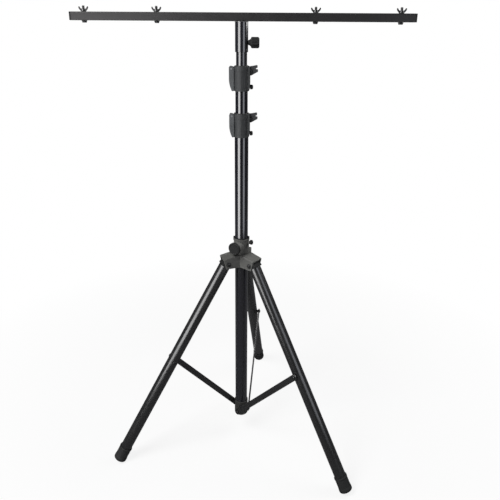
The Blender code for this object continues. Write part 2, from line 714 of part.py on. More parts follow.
def build_handle(which, origin, screw_z, screw_end):
    "Forked clamp handle on its screw: a disc against the cheek and two prongs that rise outwards."
    pivot = empty(f"{which}_clamp_handle_axis", (0, 0, screw_z), (0, math.pi / 2, 0), parent=origin)
    face = CLAMP_CHEEK_REACH + GAP
    disc = face + HANDLE_DISC_THICKNESS
    tip = face + HANDLE_LENGTH
    fork = face + HANDLE_FORK
    upper_tip = tip - UPPER_PRONG_SHORT
    corner = PRONG_CORNER
    # Local Z runs out of the clamp and local -X runs up, so the upper prong has the lower X.
    top = -HANDLE_DROP
    rise = -UPPER_PRONG_RISE
    under = rise + PRONG_WIDTH
    lower = under + PRONG_NOTCH
    outline = [(top, face), (top, disc), (rise, upper_tip - 2 * corner), (rise + corner, upper_tip),
               (under - corner, upper_tip), (under, upper_tip - corner), ((under + lower) / 2 - GAP, fork),
               ((under + lower) / 2 + GAP, fork), (lower, tip - corner), (lower + corner, tip),
               (lower + PRONG_WIDTH - 2 * corner, tip), (lower + PRONG_WIDTH, tip - 2 * corner),
               (HANDLE_ROOT_DROP, disc), (HANDLE_ROOT_DROP, face)]
    wedge = plate_mesh(outline, HANDLE_THICKNESS)
    handle = mesh_object(f"{which}_clamp_handle", wedge, clamp_plastic(), pivot)
    join(handle, rod_mesh(HANDLE_DISC_DIAMETER / 2, face, disc, ROUND_STEPS),
         rod_mesh(CLAMP_SCREW_DIAMETER / 2, screw_end, face + CLAMP_CHAMFER, BOLT_STEPS))


def yoke_top(radius):
    "Height of a yoke's sloped top at a distance from the mast's axis."
    slope = (YOKE_TOP_OUTER_Z - YOKE_TOP_INNER_Z) / (YOKE_REACH_TOP - YOKE_TOP_START)
    return YOKE_TOP_INNER_Z + slope * (radius - YOKE_TOP_START)


def yoke_mesh():
    "One yoke block, in the plane of its leg, before its slot is cut; it starts inside the mast's bore."
    start = LOWER_DIAMETER / 8
    points = [(start, HUB_BOTTOM_Z), (YOKE_REACH_BOTTOM, HUB_BOTTOM_Z), (YOKE_REACH_TOP, YOKE_TOP_OUTER_Z),
              (start, yoke_top(start))]
    return plate_mesh(points, YOKE_WIDTH)


def yoke_slot_mesh():
    "Space for the leg between a yoke's cheeks, under its roof."
    far = YOKE_REACH_TOP + YOKE_WIDTH / 2
    low = HUB_BOTTOM_Z - YOKE_WIDTH / 2
    points = [(YOKE_SLOT_START, low), (far, low), (far, yoke_top(far) - YOKE_ROOF),
              (YOKE_SLOT_START, yoke_top(YOKE_SLOT_START) - YOKE_ROOF)]
    return plate_mesh(points, YOKE_WIDTH - 2 * YOKE_CHEEK)


def leg_turn(azimuth):
    "Turns the X and Z plane to a leg's plane."
    return Matrix.Rotation(math.radians(azimuth) - math.pi / 2, 4, "Z")


def build_hub(mast):
    bore = LOWER_DIAMETER / 2 + GAP
    inside = bore / 2
    outer = HUB_COLLAR_DIAMETER / 2
    chamfer = HUB_COLLAR_CHAMFER
    profile = [(0, HUB_TOP_Z), (outer - chamfer, HUB_TOP_Z), (outer, HUB_TOP_Z - chamfer),
               (outer, HUB_BOTTOM_Z), (0, HUB_BOTTOM_Z)]
    hub = mesh_object("hub_casting", turned_mesh(profile), hub_grey(), mast)
    yokes = [placed(yoke_mesh(), leg_turn(LEG_AZIMUTH[name])) for name in LEG_NAMES]
    at_boss = along_azimuth(BOSS_AZIMUTH, 0, BOSS_Z)
    at_thumb = along_azimuth(THUMB_AZIMUTH, 0, THUMB_Z, THUMB_TILT)
    boss = placed(rod_mesh(BOSS_DIAMETER / 2, inside / 2, BOSS_REACH, ROUND_STEPS), at_boss)
    thumb_boss = placed(rod_mesh(THUMB_BOSS_DIAMETER / 2, inside / 2, THUMB_BOSS_REACH), at_thumb)
    join(hub, *yokes, boss, thumb_boss)
    slots = [placed(yoke_slot_mesh(), leg_turn(LEG_AZIMUTH[name])) for name in LEG_NAMES]
    hole = PIVOT_BOLT_DIAMETER / 2 + BOLT_GAP
    holes = [placed(rod_mesh(hole, -YOKE_WIDTH, YOKE_WIDTH, BOLT_STEPS),
                    leg_turn(LEG_AZIMUTH[name]) @ along_y(LEG_PIVOT_RADIUS, 0, LEG_PIVOT_Z))
             for name in LEG_NAMES]
    cut(hub, *slots, *holes)
    thumb_bore = rod_mesh(THUMB_SHANK_DIAMETER / 2 + BOLT_GAP, inside, THUMB_BOSS_REACH + inside, BOLT_STEPS)
    boss_bore = rod_mesh(BOSS_BORE / 2, inside, BOSS_REACH + inside)
    mast_bore = rod_mesh(bore, HUB_BOTTOM_Z - inside, HUB_TOP_Z + inside, ROUND_STEPS)
    half = RING_LUG_WIDTH / 2
    notches = [box_mesh((near, -half - GAP, HUB_TOP_Z - NOTCH_DEPTH), (far, half + GAP, HUB_TOP_Z + inside))
               for near, far in ((-outer - inside, -inside), (inside, outer + inside))]
    cut(hub, placed(thumb_bore, at_thumb), placed(boss_bore, at_boss), *notches, mast_bore)

    ring_bottom = HUB_TOP_Z + GAP
    radius = RING_DIAMETER / 2
    profile = ring_profile(radius, bore, ring_bottom, ring_bottom + RING_HEIGHT, RING_CHAMFER)
    ring = mesh_object("hub_ring", turned_mesh(profile, closed=True), knob_plastic(), mast)
    lug_bottom = HUB_TOP_Z - NOTCH_DEPTH + GAP
    for side in (-1, 1):
        near, far = sorted((side * (bore + RING_CHAMFER), side * RING_LUG_REACH))
        join(ring, box_mesh((near, -half, lug_bottom), (far, half, HUB_TOP_Z + RING_LUG_RISE)))

    build_hub_knob(mast, bore)
    build_hub_thumb_screw(mast, bore)
    build_leg_pivots(mast)


def build_hub_knob(mast, bore):
    "Round hub knob on the end of the boss; its stem presses a pad against the base tube."
    angle = math.radians(BOSS_AZIMUTH)
    axis = empty("hub_knob_axis", (0, 0, BOSS_Z), (0, math.pi / 2, angle - math.pi / 2), parent=mast)
    face = BOSS_REACH + GAP
    radius = HUB_KNOB_DIAMETER / 2
    stem = BOSS_BORE / 2 - STEM_CLEARANCE
    pad_end = bore + PAD_THICKNESS
    end = face + HUB_KNOB_THICKNESS
    floor = end - HUB_KNOB_DISH
    chamfer = HUB_KNOB_CHAMFER
    profile = [(0, floor), (radius - 2 * HUB_KNOB_RIM, floor), (radius - 1.6 * HUB_KNOB_RIM, end),
               (radius - chamfer, end), (radius, end - chamfer), (radius, face), (stem, face),
               (stem, pad_end + GAP), (0, pad_end + GAP)]
    mesh_object("hub_knob", turned_mesh(profile), knob_plastic(), axis)
    plug = rod_mesh(BOSS_BORE / 2 - 2 * GAP, bore - 2 * GAP, pad_end)
    pad = mesh_object("brake_pad", plug, bush_plastic(), axis)
    shaft = placed(rod_mesh(bore, -BOSS_BORE, BOSS_BORE, ROUND_STEPS), Matrix.Rotation(-math.pi / 2, 4, "Y"))
    cut(pad, shaft)


def build_hub_thumb_screw(mast, bore):
    angle = math.radians(THUMB_AZIMUTH)
    tilt = math.radians(THUMB_TILT)
    turn = (0, math.pi / 2 - tilt, angle - math.pi / 2)
    axis = empty("hub_thumb_screw_axis", (0, 0, THUMB_Z), turn, parent=mast)
    face = THUMB_BOSS_REACH + GAP
    radius = THUMB_HEAD_DIAMETER / 2
    grip = THUMB_HEAD_LENGTH - THUMB_NECK
    end = face + THUMB_HEAD_LENGTH
    head = plate_mesh(lobed_outline(radius, THUMB_LOBES, THUMB_LOBE_DEPTH, 4 * THUMB_LOBES), grip)
    turn = Matrix.Translation((0, 0, end - grip / 2)) @ Matrix.Rotation(math.pi / 2, 4, "X")
    screw = mesh_object("hub_thumb_screw", placed(head, turn), knob_plastic(), axis)
    join(screw, rod_mesh(radius * 0.62, face, face + 2 * THUMB_NECK),
         rod_mesh(THUMB_SHANK_DIAMETER / 2, bore + THUMB_SHANK_END, end - THUMB_NECK, BOLT_STEPS))


def build_leg_pivots(mast):
    "Pivot bolts, their heads on the side of the yoke that faces the front; they screw into the far cheek."
    half = YOKE_WIDTH / 2
    seat = half + GAP
    for name in LEG_NAMES:
        turn_z = math.radians(LEG_AZIMUTH[name]) - math.pi / 2
        frame = empty(f"{name}_yoke_axis", (0, 0, 0), (0, 0, turn_z), parent=mast)
        side = Matrix.Rotation(0 if name == "left" else math.pi, 4, "X")
        turn = along_y(LEG_PIVOT_RADIUS, 0, LEG_PIVOT_Z) @ side
        head_middle = seat + PIVOT_HEAD_HEIGHT / 2
        head = hexagon_mesh(PIVOT_HEAD_WIDTH, seat, seat + PIVOT_HEAD_HEIGHT)
        bolt = mesh_object(f"{name}_pivot_bolt", placed(head, turn), black_steel(), frame)
        shank = rod_mesh(PIVOT_BOLT_DIAMETER / 2, -half - PIVOT_BOLT_END, head_middle, BOLT_STEPS)
        join(bolt, placed(shank, turn))


def build_leg(name, mast):
    "Leg about its hub pivot: local Z runs up the leg, local Y along the pivot's axis."
    azimuth = math.radians(LEG_AZIMUTH[name])
    place = (LEG_PIVOT_RADIUS * math.sin(azimuth), -LEG_PIVOT_RADIUS * math.cos(azimuth), LEG_PIVOT_Z)
    pivot = empty(f"{name}_leg_axis", place, (0, -LEG_TILT, azimuth - math.pi / 2), parent=mast)
    outer = LEG_DIAMETER / 2
    inner = outer - TUBE_WALL
    sole = -LEG_LENGTH - FOOT_SOLE_DROP
    tube_end = sole + FOOT_FLOOR
    tube = turned_mesh(ring_profile(outer, inner, tube_end, -LEG_TUBE_START), closed=True)
    leg = mesh_object(f"{name}_leg_tube", tube, satin_black(), pivot)
    hole = rod_mesh(BRACE_BOLT_DIAMETER / 2 + BOLT_GAP, -outer * 2, outer * 2, BOLT_STEPS)
    cut(leg, placed(hole, along_y(0, 0, -BRACE_JOINT_DOWN)))

    half_width = PLUG_HALF_WIDTH
    seat = GAP - LEG_TUBE_START
    outline = arc(0, 0, PLUG_EYE_RADIUS, 0, 180, 9)
    outline += [(-half_width, -PLUG_SHOULDER), (-half_width, seat),
                (half_width, seat), (half_width, -PLUG_SHOULDER)]
    eye = plate_mesh(outline, YOKE_WIDTH - 2 * YOKE_CHEEK - 2 * GAP)
    plug = mesh_object(f"{name}_leg_plug", eye, knob_plastic(), pivot)
    join(plug, rod_mesh(inner - GAP, -LEG_TUBE_START - PLUG_SPIGOT, seat + TUBE_WALL, ROUND_STEPS))
    hole = rod_mesh(PIVOT_BOLT_DIAMETER / 2 + BOLT_GAP, -YOKE_WIDTH, YOKE_WIDTH, BOLT_STEPS)
    cut(plug, placed(hole, along_y()))

    build_foot(name, pivot, outer, sole, tube_end)
    build_rivet(name, pivot, outer)


def build_foot(name, pivot, outer, sole, tube_end):
    "Rubber foot: a cup round the end of the leg with a round-edged sole, cut level where it stands."
    top = FOOT_LENGTH - LEG_LENGTH
    lip = FOOT_DIAMETER / 2
    waist = FOOT_WAIST / 2
    bore = outer + GAP
    corner = FOOT_SOLE_CORNER
    step = FOOT_LIP_HEIGHT
    rim = lip - bore - GAP
    cup = [(0.0, tube_end - GAP), (bore, tube_end - GAP), (bore, top), (lip - rim / 2, top),
           (lip, top - rim / 2), (lip, top - step), (waist, top - 2 * step), (lip, sole + FOOT_FLOOR)]
    edge = arc(lip - corner, sole + corner, corner, 0, -90, 5)
    foot = mesh_object(f"{name}_foot", turned_mesh(cup + edge + [(0.0, sole)]), rubber(), pivot)
    size = FOOT_DIAMETER
    ground = box_mesh((-size, -size, -size), (size, size, 0.0))
    level = Matrix.Translation((0, 0, -LEG_LENGTH)) @ Matrix.Rotation(LEG_TILT, 4, "Y")
    cut(foot, placed(ground, level @ Matrix.Translation((0, 0, -FOOT_AXIS_Z))))


def build_rivet(name, pivot, outer):
    "Round-headed rivet through the leg, its head on the side that faces away from the brace."
    end = GAP - outer
    profile = bolt_head_profile(outer + GAP) + [(BRACE_BOLT_DIAMETER / 2, end), (0, end)]
    mesh_object(f"{name}_rivet", placed(turned_mesh(profile, SMALL_STEPS), along_y(0, 0, -BRACE_JOINT_DOWN)),
                black_steel(), pivot)


def bolt_head_profile(seat):
    "Low round head of a brace bolt, down its outer side and in to its shank."
    radius = BRACE_HEAD_DIAMETER / 2
    top = seat + BRACE_HEAD_HEIGHT
    return [(0, top), (radius * 0.6, top - BRACE_HEAD_HEIGHT * 0.15),
            (radius, seat + BRACE_HEAD_HEIGHT * 0.4), (radius, seat), (BRACE_BOLT_DIAMETER / 2, seat)]


def build_brace(name, mast):
    "Brace about its pivot at the bottom hub: local Z runs along the bar, outwards and up."
    frame = math.radians(LEG_AZIMUTH[name]) - math.pi / 2
    turn = Matrix.Rotation(frame, 4, "Z")
    place = turn @ Vector((BRACE_BASE_RADIUS, -BRACE_OFFSET, BRACE_BASE_Z))
    pivot = empty(f"{name}_brace_axis", place, (0, BRACE_TILT, frame), parent=mast)
    half = BRACE_WIDTH / 2
    outline = arc(0, BRACE_LENGTH, half, 0, 180, 9) + arc(0, 0, half, 180, 360, 9)
    brace = mesh_object(f"{name}_brace", plate_mesh(outline, BRACE_THICKNESS), satin_black(), pivot)
    hole = BRACE_BOLT_DIAMETER / 2 + BOLT_GAP
    reach = BRACE_THICKNESS * 2
    cut(brace, placed(rod_mesh(hole, -reach, reach, BOLT_STEPS), along_y()),
        placed(rod_mesh(hole, -reach, reach, BOLT_STEPS), along_y(0, 0, BRACE_LENGTH)))

    seat = BRACE_THICKNESS / 2 + GAP
    leg_side = BRACE_OFFSET - LEG_DIAMETER / 2 - GAP
    spacer = SPACER_DIAMETER / 2
    profile = bolt_head_profile(seat)
    profile += [(BRACE_BOLT_DIAMETER / 2, -seat), (spacer, -seat), (spacer, -leg_side), (0, -leg_side)]
    bolt = placed(turned_mesh(profile, SMALL_STEPS), Matrix.Rotation(math.pi / 2, 4, "X"))
    place = Matrix.Translation((0, 0, BRACE_LENGTH))
    mesh_object(f"{name}_brace_bolt", placed(bolt, place), black_steel(), pivot)


def build_bottom_hub(mast):
    "Cup round the foot of the lower tube, with a boss and a bolt for each brace."
    bore = LOWER_DIAMETER / 2 + GAP
    outer = BOTTOM_HUB_DIAMETER / 2
    floor = LOWER_BOTTOM_Z - GAP
    chamfer = BOTTOM_HUB_CHAMFER
    profile = [(0, BOTTOM_HUB_Z), (outer - chamfer, BOTTOM_HUB_Z), (outer, BOTTOM_HUB_Z + chamfer),
               (outer, BOTTOM_HUB_TOP_Z), (bore, BOTTOM_HUB_TOP_Z), (bore, floor), (0, floor)]
    hub = mesh_object("bottom_hub", turned_mesh(profile), hub_grey(), mast)
    face = BRACE_INNER_FACE - GAP
    seat = BRACE_OFFSET + BRACE_THICKNESS / 2 + GAP
    end = bore + 2 * GAP
    for name in LEG_NAMES:
        reversed_y = Matrix.Rotation(math.pi, 4, "X")
        at_pivot = leg_turn(LEG_AZIMUTH[name]) @ along_y(BRACE_BASE_RADIUS, 0, BRACE_BASE_Z) @ reversed_y
        boss = rod_mesh(BOTTOM_BOSS_DIAMETER / 2, bore + BOTTOM_HUB_CHAMFER / 4, face, ROUND_STEPS)
        join(hub, placed(boss, at_pivot))
        hole = rod_mesh(BRACE_BOLT_DIAMETER / 2 + BOLT_GAP, bore - GAP, face * 2, BOLT_STEPS)
        cut(hub, placed(hole, at_pivot))
        profile = bolt_head_profile(seat) + [(BRACE_BOLT_DIAMETER / 2, end), (0, end)]
        bolt = placed(turned_mesh(profile, SMALL_STEPS), at_pivot)
        mesh_object(f"{name}_base_bolt", bolt, black_steel(), mast)


def main():
    global parts, cutters
    clear_scene()
    parts = new_collection("lighting_stand")
    cutters = new_collection("cutters")
    mast = empty("mast_axis", (0.0, MAST_Y, 0.0))
    build_tubes(mast)
    build_crossbar(mast)
    build_bar_bolts(mast)
    build_wing_nuts(mast)
    build_socket(mast)
    for which in CLAMP_Z:
        build_clamp(which, mast)
    build_hub(mast)
    build_bottom_hub(mast)
    for name in LEG_NAMES:
        build_leg(name, mast)
        build_brace(name, mast)
    bpy.context.view_layer.update()


main()
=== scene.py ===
"""Dressed model of the lighting stand: fine surfaces, finishes, floor, studio light and camera.

Metres, +Z up, the crossbar along X, its front towards -Y. The mast stands upright at MAST_Y.
"""
import math

import bmesh
import bpy
from mathutils import Matrix, Vector


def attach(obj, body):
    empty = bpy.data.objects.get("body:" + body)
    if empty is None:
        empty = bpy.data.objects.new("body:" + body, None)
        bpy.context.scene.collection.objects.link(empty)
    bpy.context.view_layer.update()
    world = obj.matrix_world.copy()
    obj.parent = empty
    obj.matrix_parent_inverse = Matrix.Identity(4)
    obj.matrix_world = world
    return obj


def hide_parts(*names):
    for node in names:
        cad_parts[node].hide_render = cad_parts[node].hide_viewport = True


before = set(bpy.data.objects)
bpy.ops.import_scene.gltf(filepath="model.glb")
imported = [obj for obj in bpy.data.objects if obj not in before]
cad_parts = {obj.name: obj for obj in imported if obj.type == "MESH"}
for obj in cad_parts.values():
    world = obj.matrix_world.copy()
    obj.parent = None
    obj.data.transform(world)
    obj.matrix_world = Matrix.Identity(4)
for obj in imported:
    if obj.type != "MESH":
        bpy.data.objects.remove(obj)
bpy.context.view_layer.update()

# Sizes that the pieces share with the solids
MAST_Y = -0.09135
GAP = 0.0003
LOWER_DIAMETER = 0.0455
MIDDLE_DIAMETER = 0.040
TOP_DIAMETER = 0.035
TUBE_WALL = 0.0016
BAR_SIZE = 0.0255
BAR_CENTRE_Z = 1.5760
BAR_CORNER = 0.0022
BOLT_STATIONS = (-0.490, -0.263, 0.227, 0.487)
BOLT_RADIUS = 0.004
LEG_NAMES = ("left", "right", "back")
LEG_AZIMUTH = {"left": -67.6, "right": 52.4, "back": 172.4}
LEG_RADIUS = 0.0205
LEG_PIVOT_RADIUS = 0.056
LEG_PIVOT_Z = 0.755
FOOT_REACH = 0.480
FOOT_AXIS_Z = 0.019
LEG_TILT = math.atan2(FOOT_REACH - LEG_PIVOT_RADIUS, LEG_PIVOT_Z - FOOT_AXIS_Z)
LEG_LENGTH = math.hypot(FOOT_REACH - LEG_PIVOT_RADIUS, LEG_PIVOT_Z - FOOT_AXIS_Z)
SOLE = -LEG_LENGTH - 0.012
BRACE_JOINT_RADIUS = 0.265
BRACE_JOINT_DOWN = (BRACE_JOINT_RADIUS - LEG_PIVOT_RADIUS) / math.sin(LEG_TILT)
BRACE_JOINT_Z = LEG_PIVOT_Z - BRACE_JOINT_DOWN * math.cos(LEG_TILT)
BRACE_BASE_RADIUS = 0.004
BRACE_BASE_Z = 0.100
BRACE_TILT = math.atan2(BRACE_JOINT_RADIUS - BRACE_BASE_RADIUS, BRACE_JOINT_Z - BRACE_BASE_Z)
BRACE_LENGTH = math.hypot(BRACE_JOINT_RADIUS - BRACE_BASE_RADIUS, BRACE_JOINT_Z - BRACE_BASE_Z)
BRACE_OFFSET = 0.0281
HUB_BOTTOM_Z = 0.738
HUB_TOP_Z = 0.8425
BOSS_Z = 0.8140
THUMB_Z = 0.8205
YOKE_TOP_INNER_Z = 0.7875
YOKE_TOP_OUTER_Z = 0.7755

# Steps round a turned piece
SMOOTH = 128
FINE = 96
MEDIUM = 48
COARSE = 32

# Angles: a corner that opens wider than STRAIGHT isn't rounded, a bend over SHARP_ANGLE is shaded as an
# edge, and paint wears from a bend of WEAR_BEND, fully at WEAR_SPAN more
STRAIGHT = math.radians(172)
SHARP_ANGLE = math.radians(38)
WEAR_BEND = 0.30
WEAR_SPAN = 0.25


# Node trees

def feed(tree, socket, value):
    "Gives an input a plain value, or links it to an output, which for a whole node is its first."
    if isinstance(value, bpy.types.Node):
        value = value.outputs[0]
    if isinstance(value, bpy.types.NodeSocket):
        tree.links.new(value, socket)
    else:
        socket.default_value = value


def node(tree, kind, feeds=None, **settings):
    "New node with its settings, and its inputs by name or number as values or links."
    made = tree.nodes.new(kind)
    for name, value in settings.items():
        setattr(made, name, value)
    for key, value in (feeds or {}).items():
        feed(tree, made.inputs[key], value)
    return made


def arithmetic(tree, operation, first, second):
    return node(tree, "ShaderNodeMath", {0: first, 1: second}, operation=operation)


def empty_tree(name, kind, inputs, outputs):
    "Group with named sockets, its outputs as (name, kind) and its inputs with a default value as well."
    tree = bpy.data.node_groups.new(name, kind)
    for label, socket_kind, *value in inputs:
        socket = tree.interface.new_socket(name=label, in_out="INPUT", socket_type="NodeSocket" + socket_kind)
        if value:
            socket.default_value = value[0]
    for label, socket_kind in outputs:
        tree.interface.new_socket(name=label, in_out="OUTPUT", socket_type="NodeSocket" + socket_kind)
    return tree, tree.nodes.new("NodeGroupInput").outputs, tree.nodes.new("NodeGroupOutput").inputs


# Effects that the finishes share

def noise(tree, vector, scale, detail=4.0, rough=0.55):
    return node(tree, "ShaderNodeTexNoise", {"Vector": vector, "Scale": scale, "Detail": detail,
                                             "Roughness": rough})


def ranged(tree, value, low, high, to_low=0.0, to_high=1.0):
    return node(tree, "ShaderNodeMapRange", {"Value": value, "From Min": low, "From Max": high,
                                             "To Min": to_low, "To Max": to_high})


def mixed(tree, factor, first, second):
    "Mix of two colours, whose inputs are numbers 6 and 7 of the node."
    return node(tree, "ShaderNodeMix", {"Factor": factor, 6: first, 7: second}, data_type="RGBA").outputs[2]


def build_tone():
    "Slow and fine colour variation of a painted or moulded surface."
    tree, given, result = empty_tree("tone_variation", "ShaderNodeTree", [
        ("Vector", "Vector"), ("Colour", "Color"), ("Scale", "Float", 20.0), ("Fine Scale", "Float", 400.0),
        ("Spread", "Float", 0.2)], [("Colour", "Color")])
    slow = arithmetic(tree, "MULTIPLY", noise(tree, given["Vector"], given["Scale"]), 0.65)
    fine = arithmetic(tree, "MULTIPLY", noise(tree, given["Vector"], given["Fine Scale"], detail=2.0), 0.35)
    level = ranged(tree, arithmetic(tree, "ADD", slow, fine), 0.3, 0.7,
                   arithmetic(tree, "SUBTRACT", 1.0, given["Spread"]),
                   arithmetic(tree, "ADD", 1.0, given["Spread"]))
    scaled = node(tree, "ShaderNodeVectorMath", {0: given["Colour"], "Scale": level}, operation="SCALE")
    feed(tree, result["Colour"], scaled)
    return tree


def build_wear():
    "Paint rubbed thin along edges, where the mesh carries the attribute edge."
    tree, given, result = empty_tree("edge_wear", "ShaderNodeTree", [
        ("Vector", "Vector"), ("Colour", "Color"), ("Worn Colour", "Color"),
        ("Scale", "Float", 90.0), ("Amount", "Float", 0.3)], [("Colour", "Color")])
    edge = node(tree, "ShaderNodeAttribute", attribute_name="edge")
    patches = ranged(tree, noise(tree, given["Vector"], given["Scale"], detail=5.0, rough=0.7), 0.45, 0.75)
    worn = arithmetic(tree, "MULTIPLY", arithmetic(tree, "MULTIPLY", edge.outputs["Fac"], patches),
                      given["Amount"])
    feed(tree, result["Colour"], mixed(tree, worn, given["Colour"], given["Worn Colour"]))
    return tree


def build_marks():
    "Smears and fine scuffs in the roughness of a handled surface."
    tree, given, result = empty_tree("handling_marks", "ShaderNodeTree", [
        ("Vector", "Vector"), ("Scale", "Float", 12.0), ("Roughness", "Float", 0.4),
        ("Spread", "Float", 0.1)], [("Roughness", "Float")])
    smear = noise(tree, given["Vector"], given["Scale"], detail=6.0, rough=0.65)
    low = arithmetic(tree, "SUBTRACT", given["Roughness"], given["Spread"])
    high = arithmetic(tree, "ADD", given["Roughness"], given["Spread"])
    feed(tree, result["Roughness"], ranged(tree, smear, 0.35, 0.65, low, high))
    return tree


def build_texture():
    "Height of orange peel, cast grain or moulded texture from two sizes of noise."
    tree, given, result = empty_tree("surface_texture", "ShaderNodeTree", [
        ("Vector", "Vector"), ("Scale", "Float", 300.0),
        ("Coarse Share", "Float", 0.4)], [("Height", "Float")])
    fine = noise(tree, given["Vector"], given["Scale"], detail=3.0)
    coarse = noise(tree, given["Vector"], arithmetic(tree, "MULTIPLY", given["Scale"], 0.22), detail=2.0)
    weighted = arithmetic(tree, "MULTIPLY", coarse, given["Coarse Share"])
    feed(tree, result["Height"], arithmetic(tree, "ADD", fine, weighted))
    return tree


GROUPS = {"tone": build_tone(), "wear": build_wear(), "marks": build_marks(), "texture": build_texture()}


# Finishes

def effect(tree, key, feeds):
    return node(tree, "ShaderNodeGroup", feeds, node_tree=GROUPS[key])


def finish(name, colour, roughness, metallic=0.0, spread=0.15, tone_scale=18.0, worn=(0.3, 0.3, 0.3),
           wear=0.3, marks=0.06, grain=500.0, coarse=0.4, bump=0.15, depth=0.0001, coat=0.0,
           coat_roughness=0.1, specular=0.5):
    "A paint, plastic, rubber or metal finish built from the shared effects."
    mat = bpy.data.materials.new(name)
    mat.use_nodes = True
    tree = mat.node_tree
    place = node(tree, "ShaderNodeTexCoord").outputs["Object"]
    tone = effect(tree, "tone", {"Vector": place, "Colour": (*colour, 1.0), "Scale": tone_scale,
                                 "Fine Scale": tone_scale * 22, "Spread": spread})
    edge = effect(tree, "wear", {"Vector": place, "Colour": tone, "Worn Colour": (*worn, 1.0),
                                 "Amount": wear})
    smears = effect(tree, "marks", {"Vector": place, "Roughness": roughness, "Spread": marks})
    texture = effect(tree, "texture", {"Vector": place, "Scale": grain, "Coarse Share": coarse})
    lift = node(tree, "ShaderNodeBump", {"Strength": bump, "Distance": depth, "Height": texture})
    for label, value in {
            "Base Color": edge, "Roughness": smears, "Normal": lift, "Metallic": metallic,
            "Coat Weight": coat, "Coat Roughness": coat_roughness, "Specular IOR Level": specular}.items():
        feed(tree, tree.nodes["Principled BSDF"].inputs[label], value)
    return mat


TUBE = finish("gloss_black_tube", (0.007, 0.007, 0.012), 0.15, spread=0.10, wear=0.25, marks=0.02,
              grain=220.0, bump=0.03, coat=1.0, coat_roughness=0.07, specular=1.0)
BAR = finish("satin_black_bar", (0.022, 0.021, 0.022), 0.42, wear=0.35, grain=420.0, bump=0.2, specular=0.35)
LEG = finish("satin_black_leg", (0.014, 0.014, 0.0145), 0.27, wear=0.3, marks=0.05, grain=380.0, bump=0.03,
             coat=0.3, coat_roughness=0.15, specular=0.9)
CAST = dict(spread=0.2, wear=0.4, marks=0.08, grain=650.0, coarse=0.8, bump=0.3, depth=0.0002, specular=0.3)
CASTING = finish("painted_casting", (0.105, 0.105, 0.099), 0.6, worn=(0.25, 0.25, 0.24), **CAST)
# Darker copy of the casting's finish for the bottom cup: painted shade, as the cup stands low and further
# from the lamps
CASTING_IN_PAINTED_SHADE = finish("casting_painted_shade", (0.040, 0.040, 0.038), 0.6, worn=(0.15, 0.15, 0.15), **CAST)
CLAMP = finish("moulded_clamp", (0.032, 0.034, 0.036), 0.62, worn=(0.10, 0.105, 0.105), wear=0.3,
               grain=900.0, bump=0.35, depth=0.0002, specular=0.35)
LEVER = finish("grey_lever", (0.090, 0.095, 0.10), 0.45, metallic=0.1, worn=(0.3, 0.31, 0.32), wear=0.4,
               grain=700.0, bump=0.2)
KNOB = finish("black_knob", (0.016, 0.0165, 0.0165), 0.6, worn=(0.07, 0.07, 0.07), wear=0.35, grain=900.0,
              bump=0.3, depth=0.00015, specular=0.15)
BUSH = finish("bush_plastic", (0.022, 0.022, 0.022), 0.5, worn=(0.07, 0.07, 0.07), wear=0.2, grain=600.0)
RUBBER = finish("foot_rubber", (0.016, 0.0165, 0.0165), 0.7, spread=0.25, worn=(0.05, 0.05, 0.049), wear=0.4,
                marks=0.1, grain=800.0, coarse=0.9, bump=0.4, depth=0.0002, specular=0.4)
ZINC = finish("zinc_plate", (0.30, 0.30, 0.31), 0.5, metallic=0.8, spread=0.14, tone_scale=60.0,
              worn=(0.45, 0.44, 0.43), wear=0.3, grain=900.0, bump=0.12)
DARK_STEEL = finish("blackened_steel", (0.022, 0.022, 0.023), 0.34, metallic=0.25, tone_scale=60.0,
                    worn=(0.30, 0.30, 0.30), wear=0.45, grain=900.0, bump=0.12)


# Mesh helpers

def arc(cx, cz, radius, start, end, count):
    "Points on an arc, angles in degrees from the first axis towards the second."
    angles = [math.radians(start + (end - start) * i / (count - 1)) for i in range(count)]
    return [(cx + radius * math.cos(a), cz + radius * math.sin(a)) for a in angles]


def rounded(points, radius=0.0, count=4):
    "Closed outline with each corner rounded; a point may carry a radius of its own as a third value."
    result = []
    total = len(points)
    for i, point in enumerate(points):
        here = Vector(point[:2])
        wanted = point[2] if len(point) > 2 else radius
        before = Vector(points[i - 1][:2]) - here
        after = Vector(points[(i + 1) % total][:2]) - here
        opening = before.angle(after, math.pi)
        if wanted <= 0 or opening > STRAIGHT:
            result.append(tuple(here))
            continue
        cut = min(wanted / math.tan(opening / 2), before.length * 0.49, after.length * 0.49)
        first = here + before.normalized() * cut
        last = here + after.normalized() * cut
        for k in range(count + 1):
            t = k / count
            result.append(tuple((1 - t) ** 2 * first + 2 * t * (1 - t) * here + t * t * last))
    return result


def turned(profile, steps=FINE, closed=False, lobes=0, lobe_depth=0.0, lobe_from=0.0):
    """Mesh turned about Z from (radius, z) points; a closed profile is a ring off the axis.

    With lobes, every radius beyond lobe_from swings in by up to lobe_depth between the lobes."""
    shape = bmesh.new()
    rings = []
    for radius, z in profile:
        if radius < 1e-7:
            rings.append([shape.verts.new((0, 0, z))] * steps)
            continue
        ring = []
        for i in range(steps):
            angle = math.tau * i / steps
            reach = radius
            if lobes and radius > lobe_from:
                swing = (0.5 - 0.5 * math.cos(lobes * angle)) ** 2
                reach -= min(lobe_depth, radius - lobe_from) * swing
            ring.append(shape.verts.new((reach * math.cos(angle), reach * math.sin(angle), z)))
        rings.append(ring)
    pairs = list(zip(rings, rings[1:]))
    if closed:
        pairs.append((rings[-1], rings[0]))
    for upper, lower in pairs:
        for i in range(steps):
            j = (i + 1) % steps
            corners = []
            for vert in (upper[i], upper[j], lower[j], lower[i]):
                if vert not in corners:
                    corners.append(vert)
            if len(corners) > 2:
                shape.faces.new(corners)
    bmesh.ops.recalc_face_normals(shape, faces=shape.faces)
    return shape


def soft_edges(shape, edges, bevel):
    bmesh.ops.bevel(shape, geom=edges, offset=bevel, segments=3, profile=0.5, affect="EDGES",
                    clamp_overlap=True)
    return shape


